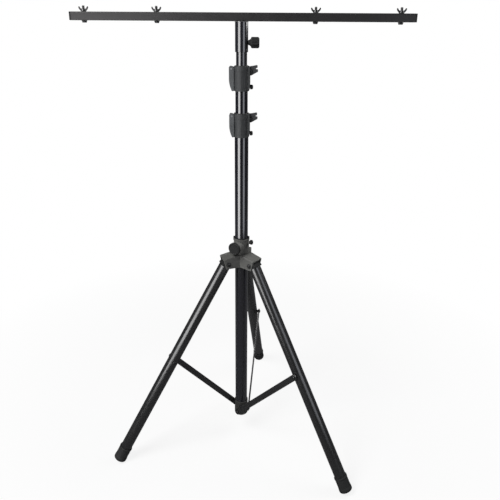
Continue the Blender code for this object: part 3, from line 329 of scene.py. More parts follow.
def prism(outline, low, high, bevel):
    "Solid from an outline in X and Z, from Y low to Y high, with rounded rims."
    shape = bmesh.new()
    base = [shape.verts.new((x, low, z)) for x, z in outline]
    top = [shape.verts.new((x, high, z)) for x, z in outline]
    shape.faces.new(base)
    shape.faces.new(list(reversed(top)))
    total = len(outline)
    for i in range(total):
        j = (i + 1) % total
        shape.faces.new((base[j], base[i], top[i], top[j]))
    bmesh.ops.recalc_face_normals(shape, faces=shape.faces)
    rims = [edge for edge in shape.edges if edge.verts[0].co.y == edge.verts[1].co.y]
    return soft_edges(shape, rims, bevel)


def block(low, high, bevel):
    "Box with all its edges rounded."
    shape = bmesh.new()
    bmesh.ops.create_cube(shape, size=1.0)
    bmesh.ops.scale(shape, vec=[b - a for a, b in zip(low, high)], verts=shape.verts)
    bmesh.ops.translate(shape, vec=[(a + b) / 2 for a, b in zip(low, high)], verts=shape.verts)
    return soft_edges(shape, list(shape.edges), bevel)


def placed(shape, matrix):
    bmesh.ops.transform(shape, matrix=matrix, verts=shape.verts)
    return shape


def shift(x=0.0, y=0.0, z=0.0):
    return Matrix.Translation((x, y, z))


def spin(angle, axis):
    return Matrix.Rotation(angle, 4, axis)


MAST = shift(0, MAST_Y, 0)


def along_x(x=0.0, y=0.0, z=0.0):
    return shift(x, y, z) @ spin(math.pi / 2, "Y")


def along_y(x=0.0, y=0.0, z=0.0):
    return shift(x, y, z) @ spin(-math.pi / 2, "X")


def radial(azimuth):
    "Turns the X and Z plane to the vertical plane at an azimuth, counted from the front towards +X."
    return MAST @ spin(math.radians(azimuth) - math.pi / 2, "Z")


def outward(azimuth, z, tilt=0.0):
    "Turns what was built along Z to point outwards from the mast's axis."
    return radial(azimuth) @ shift(0, 0, z) @ spin(math.pi / 2 - math.radians(tilt), "Y")


def mark_edges(mesh):
    "Writes the attribute edge: near 1 where faces meet at a sharp or tightly rounded edge."
    shape = bmesh.new()
    shape.from_mesh(mesh)
    shape.normal_update()
    values = [0.0] * len(shape.verts)
    for edge in shape.edges:
        if len(edge.link_faces) == 2:
            bend = edge.calc_face_angle(0.0)
            sharpness = min(1.0, max(0.0, (bend - WEAR_BEND) / WEAR_SPAN))
            if edge.calc_length() > 1e-6:
                for vert in edge.verts:
                    values[vert.index] = max(values[vert.index], sharpness)
    shape.free()
    layer = mesh.attributes.new("edge", "FLOAT", "POINT")
    layer.data.foreach_set("value", values)


def new_object(name, data):
    obj = bpy.data.objects.new(name, data)
    bpy.context.scene.collection.objects.link(obj)
    return obj


def joined(name, shapes):
    "One mesh of several shapes, which are used up."
    whole = bmesh.new()
    for shape in shapes:
        part = bpy.data.meshes.new("part")
        shape.to_mesh(part)
        shape.free()
        whole.from_mesh(part)
        bpy.data.meshes.remove(part)
    mesh = bpy.data.meshes.new(name)
    whole.to_mesh(mesh)
    whole.free()
    return mesh


def settled(name, mesh, mat, body, *replaced):
    "Finished object with even normals, which rides on a body and stands for the named solids."
    obj = new_object(name, mesh)
    mark_edges(mesh)
    mesh.materials.clear()
    mesh.materials.append(mat)
    mesh.shade_smooth()
    mesh.set_sharp_from_angle(angle=SHARP_ANGLE)
    normals = obj.modifiers.new("even_normals", "WEIGHTED_NORMAL")
    normals.keep_sharp = True
    graph = bpy.context.evaluated_depsgraph_get()
    even = bpy.data.meshes.new_from_object(obj.evaluated_get(graph))
    obj.modifiers.clear()
    obj.data = even
    bpy.data.meshes.remove(mesh)
    even.name = name
    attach(obj, body)
    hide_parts(*replaced)


def piece(name, shapes, mat, body, *replaced, at=Matrix()):
    "One finished object of several shapes, moved to their place together."
    settled(name, joined(name, [placed(shape, at) for shape in shapes]), mat, body, *replaced)


# Shapes that repeat, by Geometry Nodes

def geometry_tree(name, inputs):
    return empty_tree(name, "GeometryNodeTree", inputs + [("Material", "Material")],
                      [("Geometry", "Geometry")])


def geometry_result(tree, values, base=None):
    "Plain mesh from a tree, with its inputs set by identifier before it is evaluated."
    mesh = base or bpy.data.meshes.new("seed")
    holder = new_object("seed", mesh)
    modifier = holder.modifiers.new("nodes", "NODES")
    modifier.node_group = tree
    for item in tree.interface.items_tree:
        if item.in_out == "INPUT" and item.name in values:
            modifier[item.identifier] = values[item.name]
    graph = bpy.context.evaluated_depsgraph_get()
    result = bpy.data.meshes.new_from_object(holder.evaluated_get(graph))
    bpy.data.objects.remove(holder, do_unlink=True)
    bpy.data.meshes.remove(mesh)
    return result


def finish_tree(tree, geometry, given, result):
    "Ends a tree: real geometry in its material."
    real = node(tree, "GeometryNodeRealizeInstances", {"Geometry": geometry})
    coated = node(tree, "GeometryNodeSetMaterial", {"Geometry": real, "Material": given["Material"]})
    feed(tree, result["Geometry"], coated)
    return tree


def lifted(tree, geometry, height):
    "Moves geometry up by a height."
    offset = node(tree, "ShaderNodeCombineXYZ", {"Z": height})
    return node(tree, "GeometryNodeTransform", {"Geometry": geometry, "Translation": offset})


def build_station_tree():
    "One shape set down at every point of the base mesh, such as bolts along a bar."
    tree, given, result = geometry_tree("shape_at_stations", [
        ("Stations", "Geometry"), ("Shape", "Object")])
    shape = node(tree, "GeometryNodeObjectInfo", {"Object": given["Shape"]})
    scatter = node(tree, "GeometryNodeInstanceOnPoints", {"Points": given["Stations"],
                                                          "Instance": shape.outputs["Geometry"]})
    return finish_tree(tree, scatter, given, result)


def build_ridge_tree():
    """Ridges at equal angles round the Z axis, such as treads, flutes and grips.

    Each is a rounded bar that stands on a circle; Rise is its length along the axis."""
    tree, given, result = geometry_tree("ridges_round_axis", [
        ("Count", "Int"), ("Radius", "Float"), ("Width", "Float"), ("Depth", "Float"), ("Rise", "Float"),
        ("Start Z", "Float")])
    circle = node(tree, "GeometryNodeMeshCircle", {"Vertices": given["Count"], "Radius": given["Radius"]})
    size = node(tree, "ShaderNodeCombineXYZ", {"X": given["Depth"], "Y": given["Width"], "Z": given["Rise"]})
    bar = node(tree, "GeometryNodeMeshCube", {
        "Size": size, "Vertices X": 2, "Vertices Y": 3, "Vertices Z": 3})
    soft = node(tree, "GeometryNodeSubdivisionSurface", {"Mesh": bar, "Level": 1, "Edge Crease": 0.35})
    position = node(tree, "GeometryNodeInputPosition")
    facing = node(tree, "FunctionNodeAlignEulerToVector", {"Vector": position}, axis="X", pivot_axis="Z")
    scatter = node(tree, "GeometryNodeInstanceOnPoints", {
        "Points": circle, "Instance": soft, "Rotation": facing})
    middle = arithmetic(tree, "ADD", arithmetic(tree, "MULTIPLY", given["Rise"], 0.5), given["Start Z"])
    return finish_tree(tree, lifted(tree, scatter, middle), given, result)


def build_thread_tree():
    "A bolt's thread: a small wedge swept along a helix round the Z axis."
    tree, given, result = geometry_tree("thread_helix", [
        ("Radius", "Float"), ("Pitch", "Float"), ("Turns", "Float"), ("Start Z", "Float"),
        ("Crest", "Float")])
    helix = node(tree, "GeometryNodeCurveSpiral", {
        "Resolution": 18, "Rotations": given["Turns"], "Start Radius": given["Radius"],
        "End Radius": given["Radius"],
        "Height": arithmetic(tree, "MULTIPLY", given["Turns"], given["Pitch"])})
    wedge = node(tree, "GeometryNodeCurvePrimitiveCircle", {"Resolution": 4, "Radius": given["Crest"]})
    sweep = node(tree, "GeometryNodeCurveToMesh", {
        "Curve": helix, "Profile Curve": wedge, "Fill Caps": True})
    return finish_tree(tree, lifted(tree, sweep, given["Start Z"]), given, result)


STATIONS = build_station_tree()
RIDGES = build_ridge_tree()
THREAD = build_thread_tree()


def as_shape(mesh):
    shape = bmesh.new()
    shape.from_mesh(mesh)
    bpy.data.meshes.remove(mesh)
    return shape


def ridges(count, radius, width, depth, rise, start, mat):
    return as_shape(geometry_result(RIDGES, {"Count": count, "Radius": radius, "Width": width, "Depth": depth,
                                             "Rise": rise, "Start Z": start, "Material": mat}))


def thread(radius, pitch, length, start, mat):
    return as_shape(geometry_result(THREAD, {"Radius": radius, "Pitch": pitch, "Turns": length / pitch,
                                             "Start Z": start, "Crest": pitch * 0.42, "Material": mat}))


# Mast and crossbar

def ring_outline(outer, inner, bottom, top, soft=0.0005):
    return rounded([(outer, top), (outer, bottom), (inner, bottom), (inner, top)], soft, 3)


# Each tube's diameter, foot, top and body
TUBES = {"lower_tube": (LOWER_DIAMETER, 0.088, 1.258, "mast"),
         "middle_tube": (MIDDLE_DIAMETER, 0.200, 1.408, "middle_section"),
         "top_tube": (TOP_DIAMETER, 0.320, 1.55865, "top_section")}


def build_tubes():
    for name, (diameter, foot, top, body) in TUBES.items():
        outer = diameter / 2
        tube = turned(ring_outline(outer, outer - TUBE_WALL, foot, top), SMOOTH, closed=True)
        piece(name + "_smooth", [tube], TUBE, body, name, at=MAST)


BAR_BOTTOM_Z = BAR_CENTRE_Z - BAR_SIZE / 2
BAR_TOP_Z = BAR_CENTRE_Z + BAR_SIZE / 2
BAR_HALF = 0.533
CAP_LIP = 0.0045


def bar_section(size, corner, start, end, bevel):
    half = size / 2
    outline = rounded([(-half, -half), (half, -half), (half, half), (-half, half)], corner, 5)
    turn = shift(0, MAST_Y, BAR_CENTRE_Z) @ spin(-math.pi / 2, "Z")
    return placed(prism(outline, start, end, bevel), turn)


def build_crossbar():
    end = BAR_HALF - CAP_LIP - GAP
    piece("crossbar_painted", [bar_section(BAR_SIZE, BAR_CORNER, -end, end, 0.0003)], BAR, "crossbar",
          "crossbar_tube")
    lips = {"left": (-BAR_HALF, -BAR_HALF + CAP_LIP), "right": (BAR_HALF - CAP_LIP, BAR_HALF)}
    for name, (start, stop) in lips.items():
        cap = bar_section(BAR_SIZE - 0.0002, BAR_CORNER, start, stop, 0.0011)
        piece(f"end_plug_{name}", [cap], KNOB, "crossbar", f"end_cap_{name}")


def bolt_shape():
    "Fixture bolt: shank, thread at its tip and a low flanged head under the bar."
    tip = BAR_TOP_Z + 0.0175
    seat = BAR_BOTTOM_Z - GAP
    core = BOLT_RADIUS - 0.0004
    shank = [(0, tip), (core - 0.0008, tip), (core, tip - 0.0008), (core, BAR_TOP_Z),
             (BOLT_RADIUS, BAR_TOP_Z - 0.001), (BOLT_RADIUS, seat)]
    head = [(0.0085, seat, 0.0004), (0.0085, seat - 0.0018, 0.0006), (0.0072, seat - 0.0024, 0.0008),
            (0.0066, seat - 0.0065, 0.0016), (0.0, seat - 0.0065, 0)]
    profile = shank + rounded([(BOLT_RADIUS, seat, 0)] + head, 0.0005, 3)[1:]
    winding = thread(core, 0.00125, 0.0162, BAR_TOP_Z + 0.0004, DARK_STEEL)
    return [turned(profile, MEDIUM), winding]


def build_fixture_bolts():
    model = new_object("fixture_bolt", joined("fixture_bolt", bolt_shape()))
    stations = bpy.data.meshes.new("stations")
    stations.from_pydata([(x, MAST_Y, 0.0) for x in BOLT_STATIONS], [], [])
    row = geometry_result(STATIONS, {"Shape": model, "Material": DARK_STEEL}, stations)
    bpy.data.objects.remove(model, do_unlink=True)
    solids = [f"bar_bolt_{i}" for i in (1, 2, 3, 4)]
    settled("fixture_bolts", row, DARK_STEEL, "crossbar", *solids)


def build_wing_nuts():
    bore = BOLT_RADIUS + GAP
    wing = rounded([(0.0045, 0.0012), (0.0083, 0.0012), (0.0138, 0.0076), (0.0155, 0.0128), (0.0138, 0.0155),
                    (0.0112, 0.0136), (0.0088, 0.0092), (0.0062, 0.0080), (0.0045, 0.0080)], 0.0022)
    base = rounded([(0.0060, 0.0080, 0.0008), (0.0082, 0.0018, 0.001), (0.0082, 0.0, 0.0004),
                    (bore, 0.0, 0.0003), (bore, 0.0080, 0.0003)], 0.0005, 3)
    for i, x in enumerate(BOLT_STATIONS, start=1):
        seat = shift(x, MAST_Y, BAR_TOP_Z + GAP)
        shapes = [placed(turned(base, MEDIUM, closed=True), seat)]
        for angle in (0, math.pi):
            turn = seat @ spin(angle, "Z")
            shapes.append(placed(prism(wing, -0.0015, 0.0015, 0.0009), turn))
        piece(f"winged_nut_{i}", shapes, DARK_STEEL, f"wing_nut_{i}", f"wing_nut_{i}")


SOCKET_INNER = TOP_DIAMETER / 2 + GAP
SOCKET_OUTER = SOCKET_INNER + 0.0027
SOCKET_TOP_Z = BAR_BOTTOM_Z - GAP
SOCKET_BOTTOM_Z = SOCKET_TOP_Z - 0.0905
KNOB_DOWN = 0.062


def build_socket():
    inner = SOCKET_INNER
    roof = SOCKET_TOP_Z - 0.004
    sleeve = rounded([(0, SOCKET_TOP_Z, 0), (SOCKET_OUTER, SOCKET_TOP_Z, 0.0003),
                      (SOCKET_OUTER, SOCKET_BOTTOM_Z, 0.0016), (inner, SOCKET_BOTTOM_Z, 0.0003),
                      (inner, roof, 0.0005), (0, roof, 0)])
    bead = [(SOCKET_OUTER + 0.0002 + 0.0011 * math.cos(a), SOCKET_TOP_Z - 0.0008 + 0.0007 * math.sin(a))
            for a in (math.tau * i / 10 for i in range(10))]
    shapes = [turned(sleeve, SMOOTH), turned(bead, FINE, closed=True)]
    piece("socket_sleeve", shapes, TUBE, "crossbar", "crossbar_socket", at=MAST)

    face = SOCKET_OUTER + GAP
    turn = MAST @ along_x(z=SOCKET_TOP_Z - KNOB_DOWN)
    screw = [(0, inner), (0.0035, inner), (0.0039, inner + 0.0004), (0.0039, face)]
    grip = rounded([(0.0039, face, 0), (0.0075, face, 0.0004), (0.0085, face + 0.004, 0.003),
                    (0.0125, face + 0.0085, 0.002), (0.0165, face + 0.0095, 0.0016),
                    (0.0170, face + 0.0125, 0.003), (0.0170, face + 0.0310, 0.0022),
                    (0.0140, face + 0.0345, 0.002), (0.0105, face + 0.0350, 0.0015),
                    (0.0095, face + 0.0335, 0.0008), (0.0, face + 0.0335, 0)], 0.001)
    knob = turned(screw + grip[1:], FINE, lobes=10, lobe_depth=0.0016, lobe_from=0.0138)
    piece("fluted_knob", [knob], KNOB, "socket_knob", "socket_knob", at=turn)


# Tube clamps

CLAMP_HEIGHT = 0.0775
CLAMP_OUTER = 0.02475
CHEEK_REACH = 0.0275
CHEEK_SEAT = 0.0243
CHEEK_HALF = 0.0150
SLIT_HALF = 0.0015
PIN_X = 0.0315
PIN_Z = CLAMP_HEIGHT - 0.0085
EAR_RADIUS = 0.006
LEVER_HALF = 0.011
LEVER_WALL = 0.002
NUT_Z = 0.0125
HANDLE_Z = CLAMP_HEIGHT - 0.0145

# Each clamp's foot, bore, the bore of its liner, and its body
CLAMPS = {"lower": (1.2030, LOWER_DIAMETER / 2 + GAP, MIDDLE_DIAMETER / 2 + GAP, "mast"),
          "upper": (1.3527, MIDDLE_DIAMETER / 2 + GAP, TOP_DIAMETER / 2 + GAP, "middle_section")}


def clamp_collar(bore):
    "Collar with a slightly prouder band round its top and a rolled lower edge."
    band = CLAMP_HEIGHT - 0.0160
    waist = CLAMP_OUTER - 0.0005
    hem = CLAMP_OUTER - 0.0002
    profile = rounded([(CLAMP_OUTER, CLAMP_HEIGHT, 0.0014), (CLAMP_OUTER, band, 0.0005),
                       (waist, band - 0.0007), (waist, 0.0060), (hem, 0.0050), (hem, 0.0, 0.0012),
                       (bore, 0.0, 0.0004), (bore, CLAMP_HEIGHT, 0.0004)], 0.0004, 3)
    return turned(profile, FINE, closed=True)


def clamp_cheek(low, high):
    "One of the two cheeks that the handle and its nut draw together, fitted round the collar's wall."
    start = 0.010
    foot = 0.0045
    top = 0.0760
    face = rounded([(start, foot), (0.0262, foot, 0.003), (CHEEK_REACH, 0.0180, 0.006),
                    (CHEEK_REACH, top, 0.002), (start, top)])
    shape = prism(face, low, high, 0.0009)
    for vert in shape.verts:
        if vert.co.x < start + 0.001:
            vert.co.x = math.sqrt(CHEEK_SEAT ** 2 - vert.co.y ** 2)
    return shape


def build_clamp(which):
    bottom, bore, slide, body = CLAMPS[which]
    seat = shift(0, MAST_Y, bottom)
    shapes = [clamp_collar(bore), clamp_cheek(-CHEEK_HALF, -SLIT_HALF), clamp_cheek(SLIT_HALF, CHEEK_HALF)]
    inside = bore + 0.0004
    ear = rounded([(-inside, PIN_Z + EAR_RADIUS), (-PIN_X, PIN_Z + EAR_RADIUS)]
                  + arc(-PIN_X, PIN_Z, EAR_RADIUS, 100, 170, 6)
                  + [(-PIN_X - EAR_RADIUS, PIN_Z), (-0.0335, 0.0300), (-inside, 0.0300)])
    shapes.append(prism(ear, -0.0085, 0.0085, 0.0008))
    shapes.append(block((-0.0007, -CLAMP_OUTER - 0.0001, 0.0065),
                        (0.0007, -0.0236, CLAMP_HEIGHT - 0.0170), 0.0005))
    middle = shift(0, 0, 0.034)
    lean = spin(math.radians(27), "Z") @ middle @ spin(math.radians(5), "Y")
    rib = block((-0.0007, -CLAMP_OUTER - 0.0002, 0.0080), (0.0007, -0.0236, 0.0585), 0.0005)
    shapes.append(placed(rib, lean @ middle.inverted()))
    piece(f"{which}_clamp_shell", shapes, CLAMP, body, f"{which}_clamp_body", at=seat)

    top = CLAMP_HEIGHT + 0.0015
    foot = CLAMP_HEIGHT - 0.018
    lip = rounded([(bore + 0.0015, top, 0.0006), (bore + 0.0015, CLAMP_HEIGHT + GAP, 0.0001),
                   (bore - GAP, CLAMP_HEIGHT + GAP, 0), (bore - GAP, foot, 0), (slide, foot, 0.0005),
                   (slide, top, 0.0006)], 0.0, 3)
    piece(f"{which}_clamp_liner", [turned(lip, FINE, closed=True)], BUSH, body, f"{which}_clamp_bush",
          at=seat)

    face = CHEEK_REACH + GAP
    end = face + 0.0095
    nut = rounded([(0, end, 0), (0.0050, end - 0.0003, 0.002), (0.0073, end - 0.0028, 0.0028),
                   (0.0073, face, 0.0004), (0.0030, face, 0), (0.0030, inside, 0), (0, inside, 0)])
    shapes = [turned(nut, MEDIUM), ridges(18, 0.00715, 0.0012, 0.0007, 0.0045, face + 0.0008, KNOB)]
    piece(f"{which}_domed_nut", shapes, KNOB, body, f"{which}_clamp_nut", at=seat @ along_x(z=NUT_Z))
    build_lever(which, seat, body)
    build_handle(which, seat, bore)


def lever_back(x, foot):
    "Back edge of the lever, straight down to its bend and then drawn in."
    bend = PIN_Z - 0.030
    return [(x + 0.0092 * part ** 2, bend + (foot - bend) * part)
            for part in (0.0, 0.15, 0.3, 0.45, 0.6, 0.75, 0.9, 1.0)]


def build_lever(which, seat, body):
    "Lever with its two side walls and its back strip, and the pin that it turns on."
    back = -0.0400
    front = -0.0240
    top = CLAMP_HEIGHT - GAP
    crown = arc(back + 0.0048, top - 0.0048, 0.0048, 90, 180, 7)
    side = ([(front, 0.0012), (front, PIN_Z - 0.002)] + arc(-PIN_X, PIN_Z, 0.0075, 0, 70, 5) + crown
            + lever_back(back, 0.0) + [(front - 0.0012, 0.0)])
    side = rounded(side, 0.0008, 2)
    inner = lever_back(back + LEVER_WALL, 0.0)
    strip = crown[2:] + lever_back(back, 0.0) + list(reversed(inner)) + [(back + LEVER_WALL, top - 0.0030)]
    shapes = [prism(side, -LEVER_HALF, LEVER_WALL - LEVER_HALF, 0.0006),
              prism(side, LEVER_HALF - LEVER_WALL, LEVER_HALF, 0.0006),
              prism(strip, -LEVER_HALF + 0.0004, LEVER_HALF - 0.0004, 0.0003)]
    piece(f"{which}_lever", shapes, LEVER, f"{which}_clamp_lever", f"{which}_clamp_lever", at=seat)
    end = LEVER_HALF + 0.0006
    pin = rounded([(0, end, 0), (0.0020, end, 0.0007), (0.0020, -end, 0.0007), (0, -end, 0)], 0.0, 3)
    piece(f"{which}_lever_pin", [turned(pin, COARSE)], ZINC, body, f"{which}_clamp_pin",
          at=seat @ along_y(-PIN_X, 0, PIN_Z))


def build_handle(which, seat, bore):
    "Forked handle, drawn with local Z out of the clamp and local -X up."
    face = CHEEK_REACH + GAP
    disc = face + 0.0045
    tip = face + 0.0245
    outline = rounded([(-0.0145, face), (-0.0145, disc), (-0.0175, tip - 0.0040, 0.003),
                       (-0.0165, tip - 0.0015, 0.0025), (-0.0090, tip - 0.0015, 0.0025),
                       (-0.0088, face + 0.0190, 0.002), (-0.0068, face + 0.0170, 0.0012),
                       (-0.0047, face + 0.0190, 0.002), (-0.0045, tip, 0.0025), (0.0030, tip, 0.0025),
                       (0.0042, tip - 0.0030, 0.003), (0.0138, disc, 0.001), (0.0145, face)], 0.0006)
    plate = rounded([(0, disc + GAP, 0), (0.0098, disc + GAP, 0.0008), (0.0105, disc - 0.0006, 0.0006),
                     (0.0105, face, 0.0004), (0.0030, face, 0), (0.0030, bore + 0.0006, 0),
                     (0, bore + 0.0006, 0)], 0.0, 3)
    shapes = [prism(outline, -0.0055, 0.0055, 0.0014), turned(plate, MEDIUM)]
    piece(f"{which}_forked_handle", shapes, CLAMP, f"{which}_clamp_handle", f"{which}_clamp_handle",
          at=seat @ along_x(z=HANDLE_Z))


# Leg hub

COLLAR_RADIUS = 0.0272
BODY_RADIUS = 0.0262
LUG_REACH = 0.0285
YOKE_START = 0.016
YOKE_REACH_TOP = 0.0745
YOKE_REACH_BOTTOM = 0.065
YOKE_HALF = 0.025
YOKE_WALL = 0.004
YOKE_EDGE = 0.0025
YOKE_CORNER = 0.0042
END_RISE = (YOKE_TOP_OUTER_Z - HUB_BOTTOM_Z) / (YOKE_REACH_TOP - YOKE_REACH_BOTTOM)
ARM_START = 0.001
BOSS_AZIMUTH = -30.5
BOSS_END = 0.040
BOSS_SHIFT = 0.0015
THUMB_AZIMUTH = 68
THUMB_TILT = 14
THUMB_END = 0.0335
NOTCH_HALF = 0.0053
NOTCH_FLOOR = HUB_TOP_Z - 0.0085


def yoke_top(x):
    "Height of a yoke's sloped top at a distance from the mast's axis."
    slope = (YOKE_TOP_OUTER_Z - YOKE_TOP_INNER_Z) / (YOKE_REACH_TOP - YOKE_START)
    return YOKE_TOP_INNER_Z + slope * (x - YOKE_START)


def yoke_section(x, inset):
    "Inverted U across a yoke at a distance from the mast: its outer line and then its slot, as (y, z)."
    half = YOKE_HALF - inset
    slot = YOKE_HALF - YOKE_WALL
    top = yoke_top(x) - inset
    roof = yoke_top(x) - YOKE_WALL
    return rounded([(-half, HUB_BOTTOM_Z, 0), (-half, top, YOKE_CORNER), (half, top, YOKE_CORNER),
                    (half, HUB_BOTTOM_Z, 0), (slot, HUB_BOTTOM_Z, 0), (slot, roof, 0.002),
                    (-slot, roof, 0.002), (-slot, HUB_BOTTOM_Z, 0)], 0, 6)


def yoke_shell():
    "Roof and cheeks of a yoke in one skin, fitted round the collar and cut at a slant at the outer end."
    shape = bmesh.new()
    rings = [[shape.verts.new((max(math.sqrt(max(BODY_RADIUS ** 2 - y * y, 0.0)), 0.0135), y, z))
              for y, z in yoke_section(BODY_RADIUS, 0.0)]]
    for x in (0.0300, 0.0400, 0.0500, 0.0600):
        rings.append([shape.verts.new((x, y, z)) for y, z in yoke_section(x, 0.0)])
    for k in range(6):
        back = YOKE_EDGE * (1 - math.sin(math.pi / 2 * k / 5))
        inset = YOKE_EDGE * (1 - math.cos(math.pi / 2 * k / 5))
        rings.append([shape.verts.new((YOKE_REACH_BOTTOM - back + (z - HUB_BOTTOM_Z) / END_RISE, y, z))
                      for y, z in yoke_section(YOKE_REACH_TOP - back, inset)])
    count = len(rings[0])
    for first, second in zip(rings, rings[1:]):
        for i in range(count):
            j = (i + 1) % count
            shape.faces.new((first[i], first[j], second[j], second[i]))
    for ring in (rings[0], rings[-1]):
        for i in range(count // 2 - 1):
            shape.faces.new((ring[i], ring[i + 1], ring[count - 2 - i], ring[count - 1 - i]))
    bmesh.ops.recalc_face_normals(shape, faces=shape.faces)
    return shape


def notched(shape, steps):
    "Sinks the rim of a collar at +X and -X, between upright sides, for the lugs of the ring."
    step = math.tau / steps
    last = round(math.asin(NOTCH_HALF / LUG_REACH) / step)
    for vert in shape.verts:
        radius = math.hypot(vert.co.x, vert.co.y)
        column = round(math.asin(min(1.0, abs(vert.co.y) / radius)) / step)
        if column > last + 1:
            continue
        if column >= last:
            y = math.copysign(NOTCH_HALF + (column - last) * 0.00005, vert.co.y)
            vert.co.x = math.copysign(math.sqrt(radius ** 2 - y ** 2), vert.co.x)
            vert.co.y = y
        if column <= last:
            vert.co.z = min(vert.co.z, NOTCH_FLOOR)
    return shape


def arm(outer, inner, end, rim, mouth, steps, count):
    "Bored arm built along Z, its inner end fitted to the hub's round body."
    profile = rounded([(outer, end, rim), (outer, ARM_START, 0), (inner, ARM_START, 0), (inner, end, mouth)],
                      count=count)
    shape = turned(profile, steps, closed=True)
    for vert in shape.verts:
        if abs(vert.co.z - ARM_START) < 1e-6:
            vert.co.z = math.sqrt(max(BODY_RADIUS ** 2 - vert.co.y ** 2, 0.0))
    return shape


def build_hub():
    bore = LOWER_DIAMETER / 2 + GAP
    collar = rounded([(COLLAR_RADIUS, HUB_TOP_Z, 0.003), (COLLAR_RADIUS, HUB_BOTTOM_Z, 0.001),
                      (bore, HUB_BOTTOM_Z, 0.0004), (bore, HUB_TOP_Z, 0.0006)], 0, 5)
    shapes = [placed(notched(turned(collar, SMOOTH, closed=True), SMOOTH), MAST)]
    for name in LEG_NAMES:
        web = block((0.0268, -0.0212, HUB_BOTTOM_Z), (0.0325, 0.0212, yoke_top(0.0325) - 0.003), 0.0006)
        shapes += [placed(shape, radial(LEG_AZIMUTH[name])) for shape in (yoke_shell(), web)]
    at_boss = outward(BOSS_AZIMUTH, BOSS_Z)
    at_thumb = outward(THUMB_AZIMUTH, THUMB_Z, THUMB_TILT)
    boss = arm(0.0219, 0.012, BOSS_END, 0.0015, 0.0006, FINE, 4)
    shapes.append(placed(boss, at_boss @ shift(0, BOSS_SHIFT, 0)))
    shapes.append(placed(arm(0.00575, 0.0033, THUMB_END, 0.0006, 0.0003, MEDIUM, 3), at_thumb))
    piece("hub_cast_body", shapes, CASTING, "leg_hub", "hub_casting")

    low = HUB_TOP_Z + GAP
    high = low + 0.0012
    ring = rounded([(0.0265, high, 0.0006), (0.0265, low, 0.0002), (bore, low, 0.0002), (bore, high, 0.0004)])
    shapes = [turned(ring, FINE, closed=True)]
    for side in (-1, 1):
        ends = sorted((side * 0.02385, side * LUG_REACH))
        shapes.append(block((ends[0], -0.005, NOTCH_FLOOR + GAP), (ends[1], 0.005, HUB_TOP_Z + 0.0035),
                            0.0008))
    piece("hub_collar_ring", shapes, KNOB, "leg_hub", "hub_ring", at=MAST)
    build_hub_knobs(bore, at_boss, at_thumb)
    build_pivot_bolts()


def build_hub_knobs(bore, at_boss, at_thumb):
    "Ribbed knob on the boss and knurled screw on the thumb arm, each with its shank down to the mast."
    face = BOSS_END + GAP
    end = face + 0.0095
    knob = rounded([(0, end - 0.0012, 0), (0.0165, end - 0.0012, 0.002), (0.0185, end, 0.001),
                    (0.0212, end, 0.0012), (0.0225, end - 0.0016, 0.0012), (0.0225, face + 0.0012, 0.0008),
                    (0.0218, face, 0.0006), (0.0105, face, 0.0004), (0.0105, bore + 0.0053, 0.0006),
                    (0, bore + 0.0053, 0)])
    shapes = [turned(knob, SMOOTH), ridges(56, 0.02215, 0.0010, 0.0007, 0.0050, face + 0.0022, KNOB)]
    piece("hub_disc_knob", shapes, KNOB, "hub_knob", "hub_knob", at=at_boss)

    face = THUMB_END + GAP
    head = rounded([(0, face + 0.010, 0), (0.0068, face + 0.010, 0.0012), (0.0083, face + 0.0085, 0.0012),
                    (0.0083, face + 0.0028, 0.001), (0.0056, face + 0.0018, 0.0008), (0.0054, face, 0.0004),
                    (0.003, face, 0), (0.003, bore + 0.0035, 0.0004), (0, bore + 0.0035, 0)])
    shapes = [turned(head, MEDIUM), ridges(24, 0.0082, 0.0009, 0.0008, 0.0056, face + 0.0032, KNOB)]
    piece("knurled_thumb_screw", shapes, KNOB, "hub_thumb_screw", "hub_thumb_screw", at=at_thumb)


def hexagon(width):
    "Outline of a six-sided head by its width across the flats."
    reach = width / 2 / math.cos(math.pi / 6)
    return arc(0, 0, reach, 0, 300, 6)


def build_pivot_bolts():
    "Pivot bolts: a domed six-sided head on a thin flange, and the shank down to the far cheek."
    seat = YOKE_HALF + GAP
    for name in LEG_NAMES:
        side = spin(0 if name == "left" else math.pi, "X")
        head = prism(hexagon(0.0128), seat, seat + 0.0038, 0.0012)
        tip = -seat - 0.0027
        flange = rounded([(0, seat + 0.0045, 0), (0.0030, seat + 0.0044, 0.001),
                          (0.0052, seat + 0.0037, 0.001), (0.0052, seat + 0.0010, 0),
                          (0.0086, seat + 0.0009, 0.0005), (0.0088, seat, 0.0002), (0.004, seat, 0),
                          (0.004, tip, 0.0008), (0, tip, 0)], 0, 3)
        shapes = [placed(head, spin(-math.pi / 2, "X")), turned(flange, MEDIUM)]
        piece(f"{name}_yoke_bolt", shapes, DARK_STEEL, "leg_hub", f"{name}_pivot_bolt",
              at=radial(LEG_AZIMUTH[name]) @ along_y(LEG_PIVOT_RADIUS, 0, LEG_PIVOT_Z) @ side)


# Legs, braces and the bottom hub

def leg_frame(name):
    pivot = shift(LEG_PIVOT_RADIUS, 0, LEG_PIVOT_Z)
    return radial(LEG_AZIMUTH[name]) @ pivot @ spin(-LEG_TILT, "Y")


def bolt_head(seat, tail):
    "Low domed head down to its seat, then the shank's profile."
    return rounded([(0, seat + 0.0035, 0), (0.0038, seat + 0.0034, 0.003), (0.0064, seat + 0.0018, 0.0012),
                    (0.0065, seat, 0.0003), (0.003, seat, 0)] + tail)


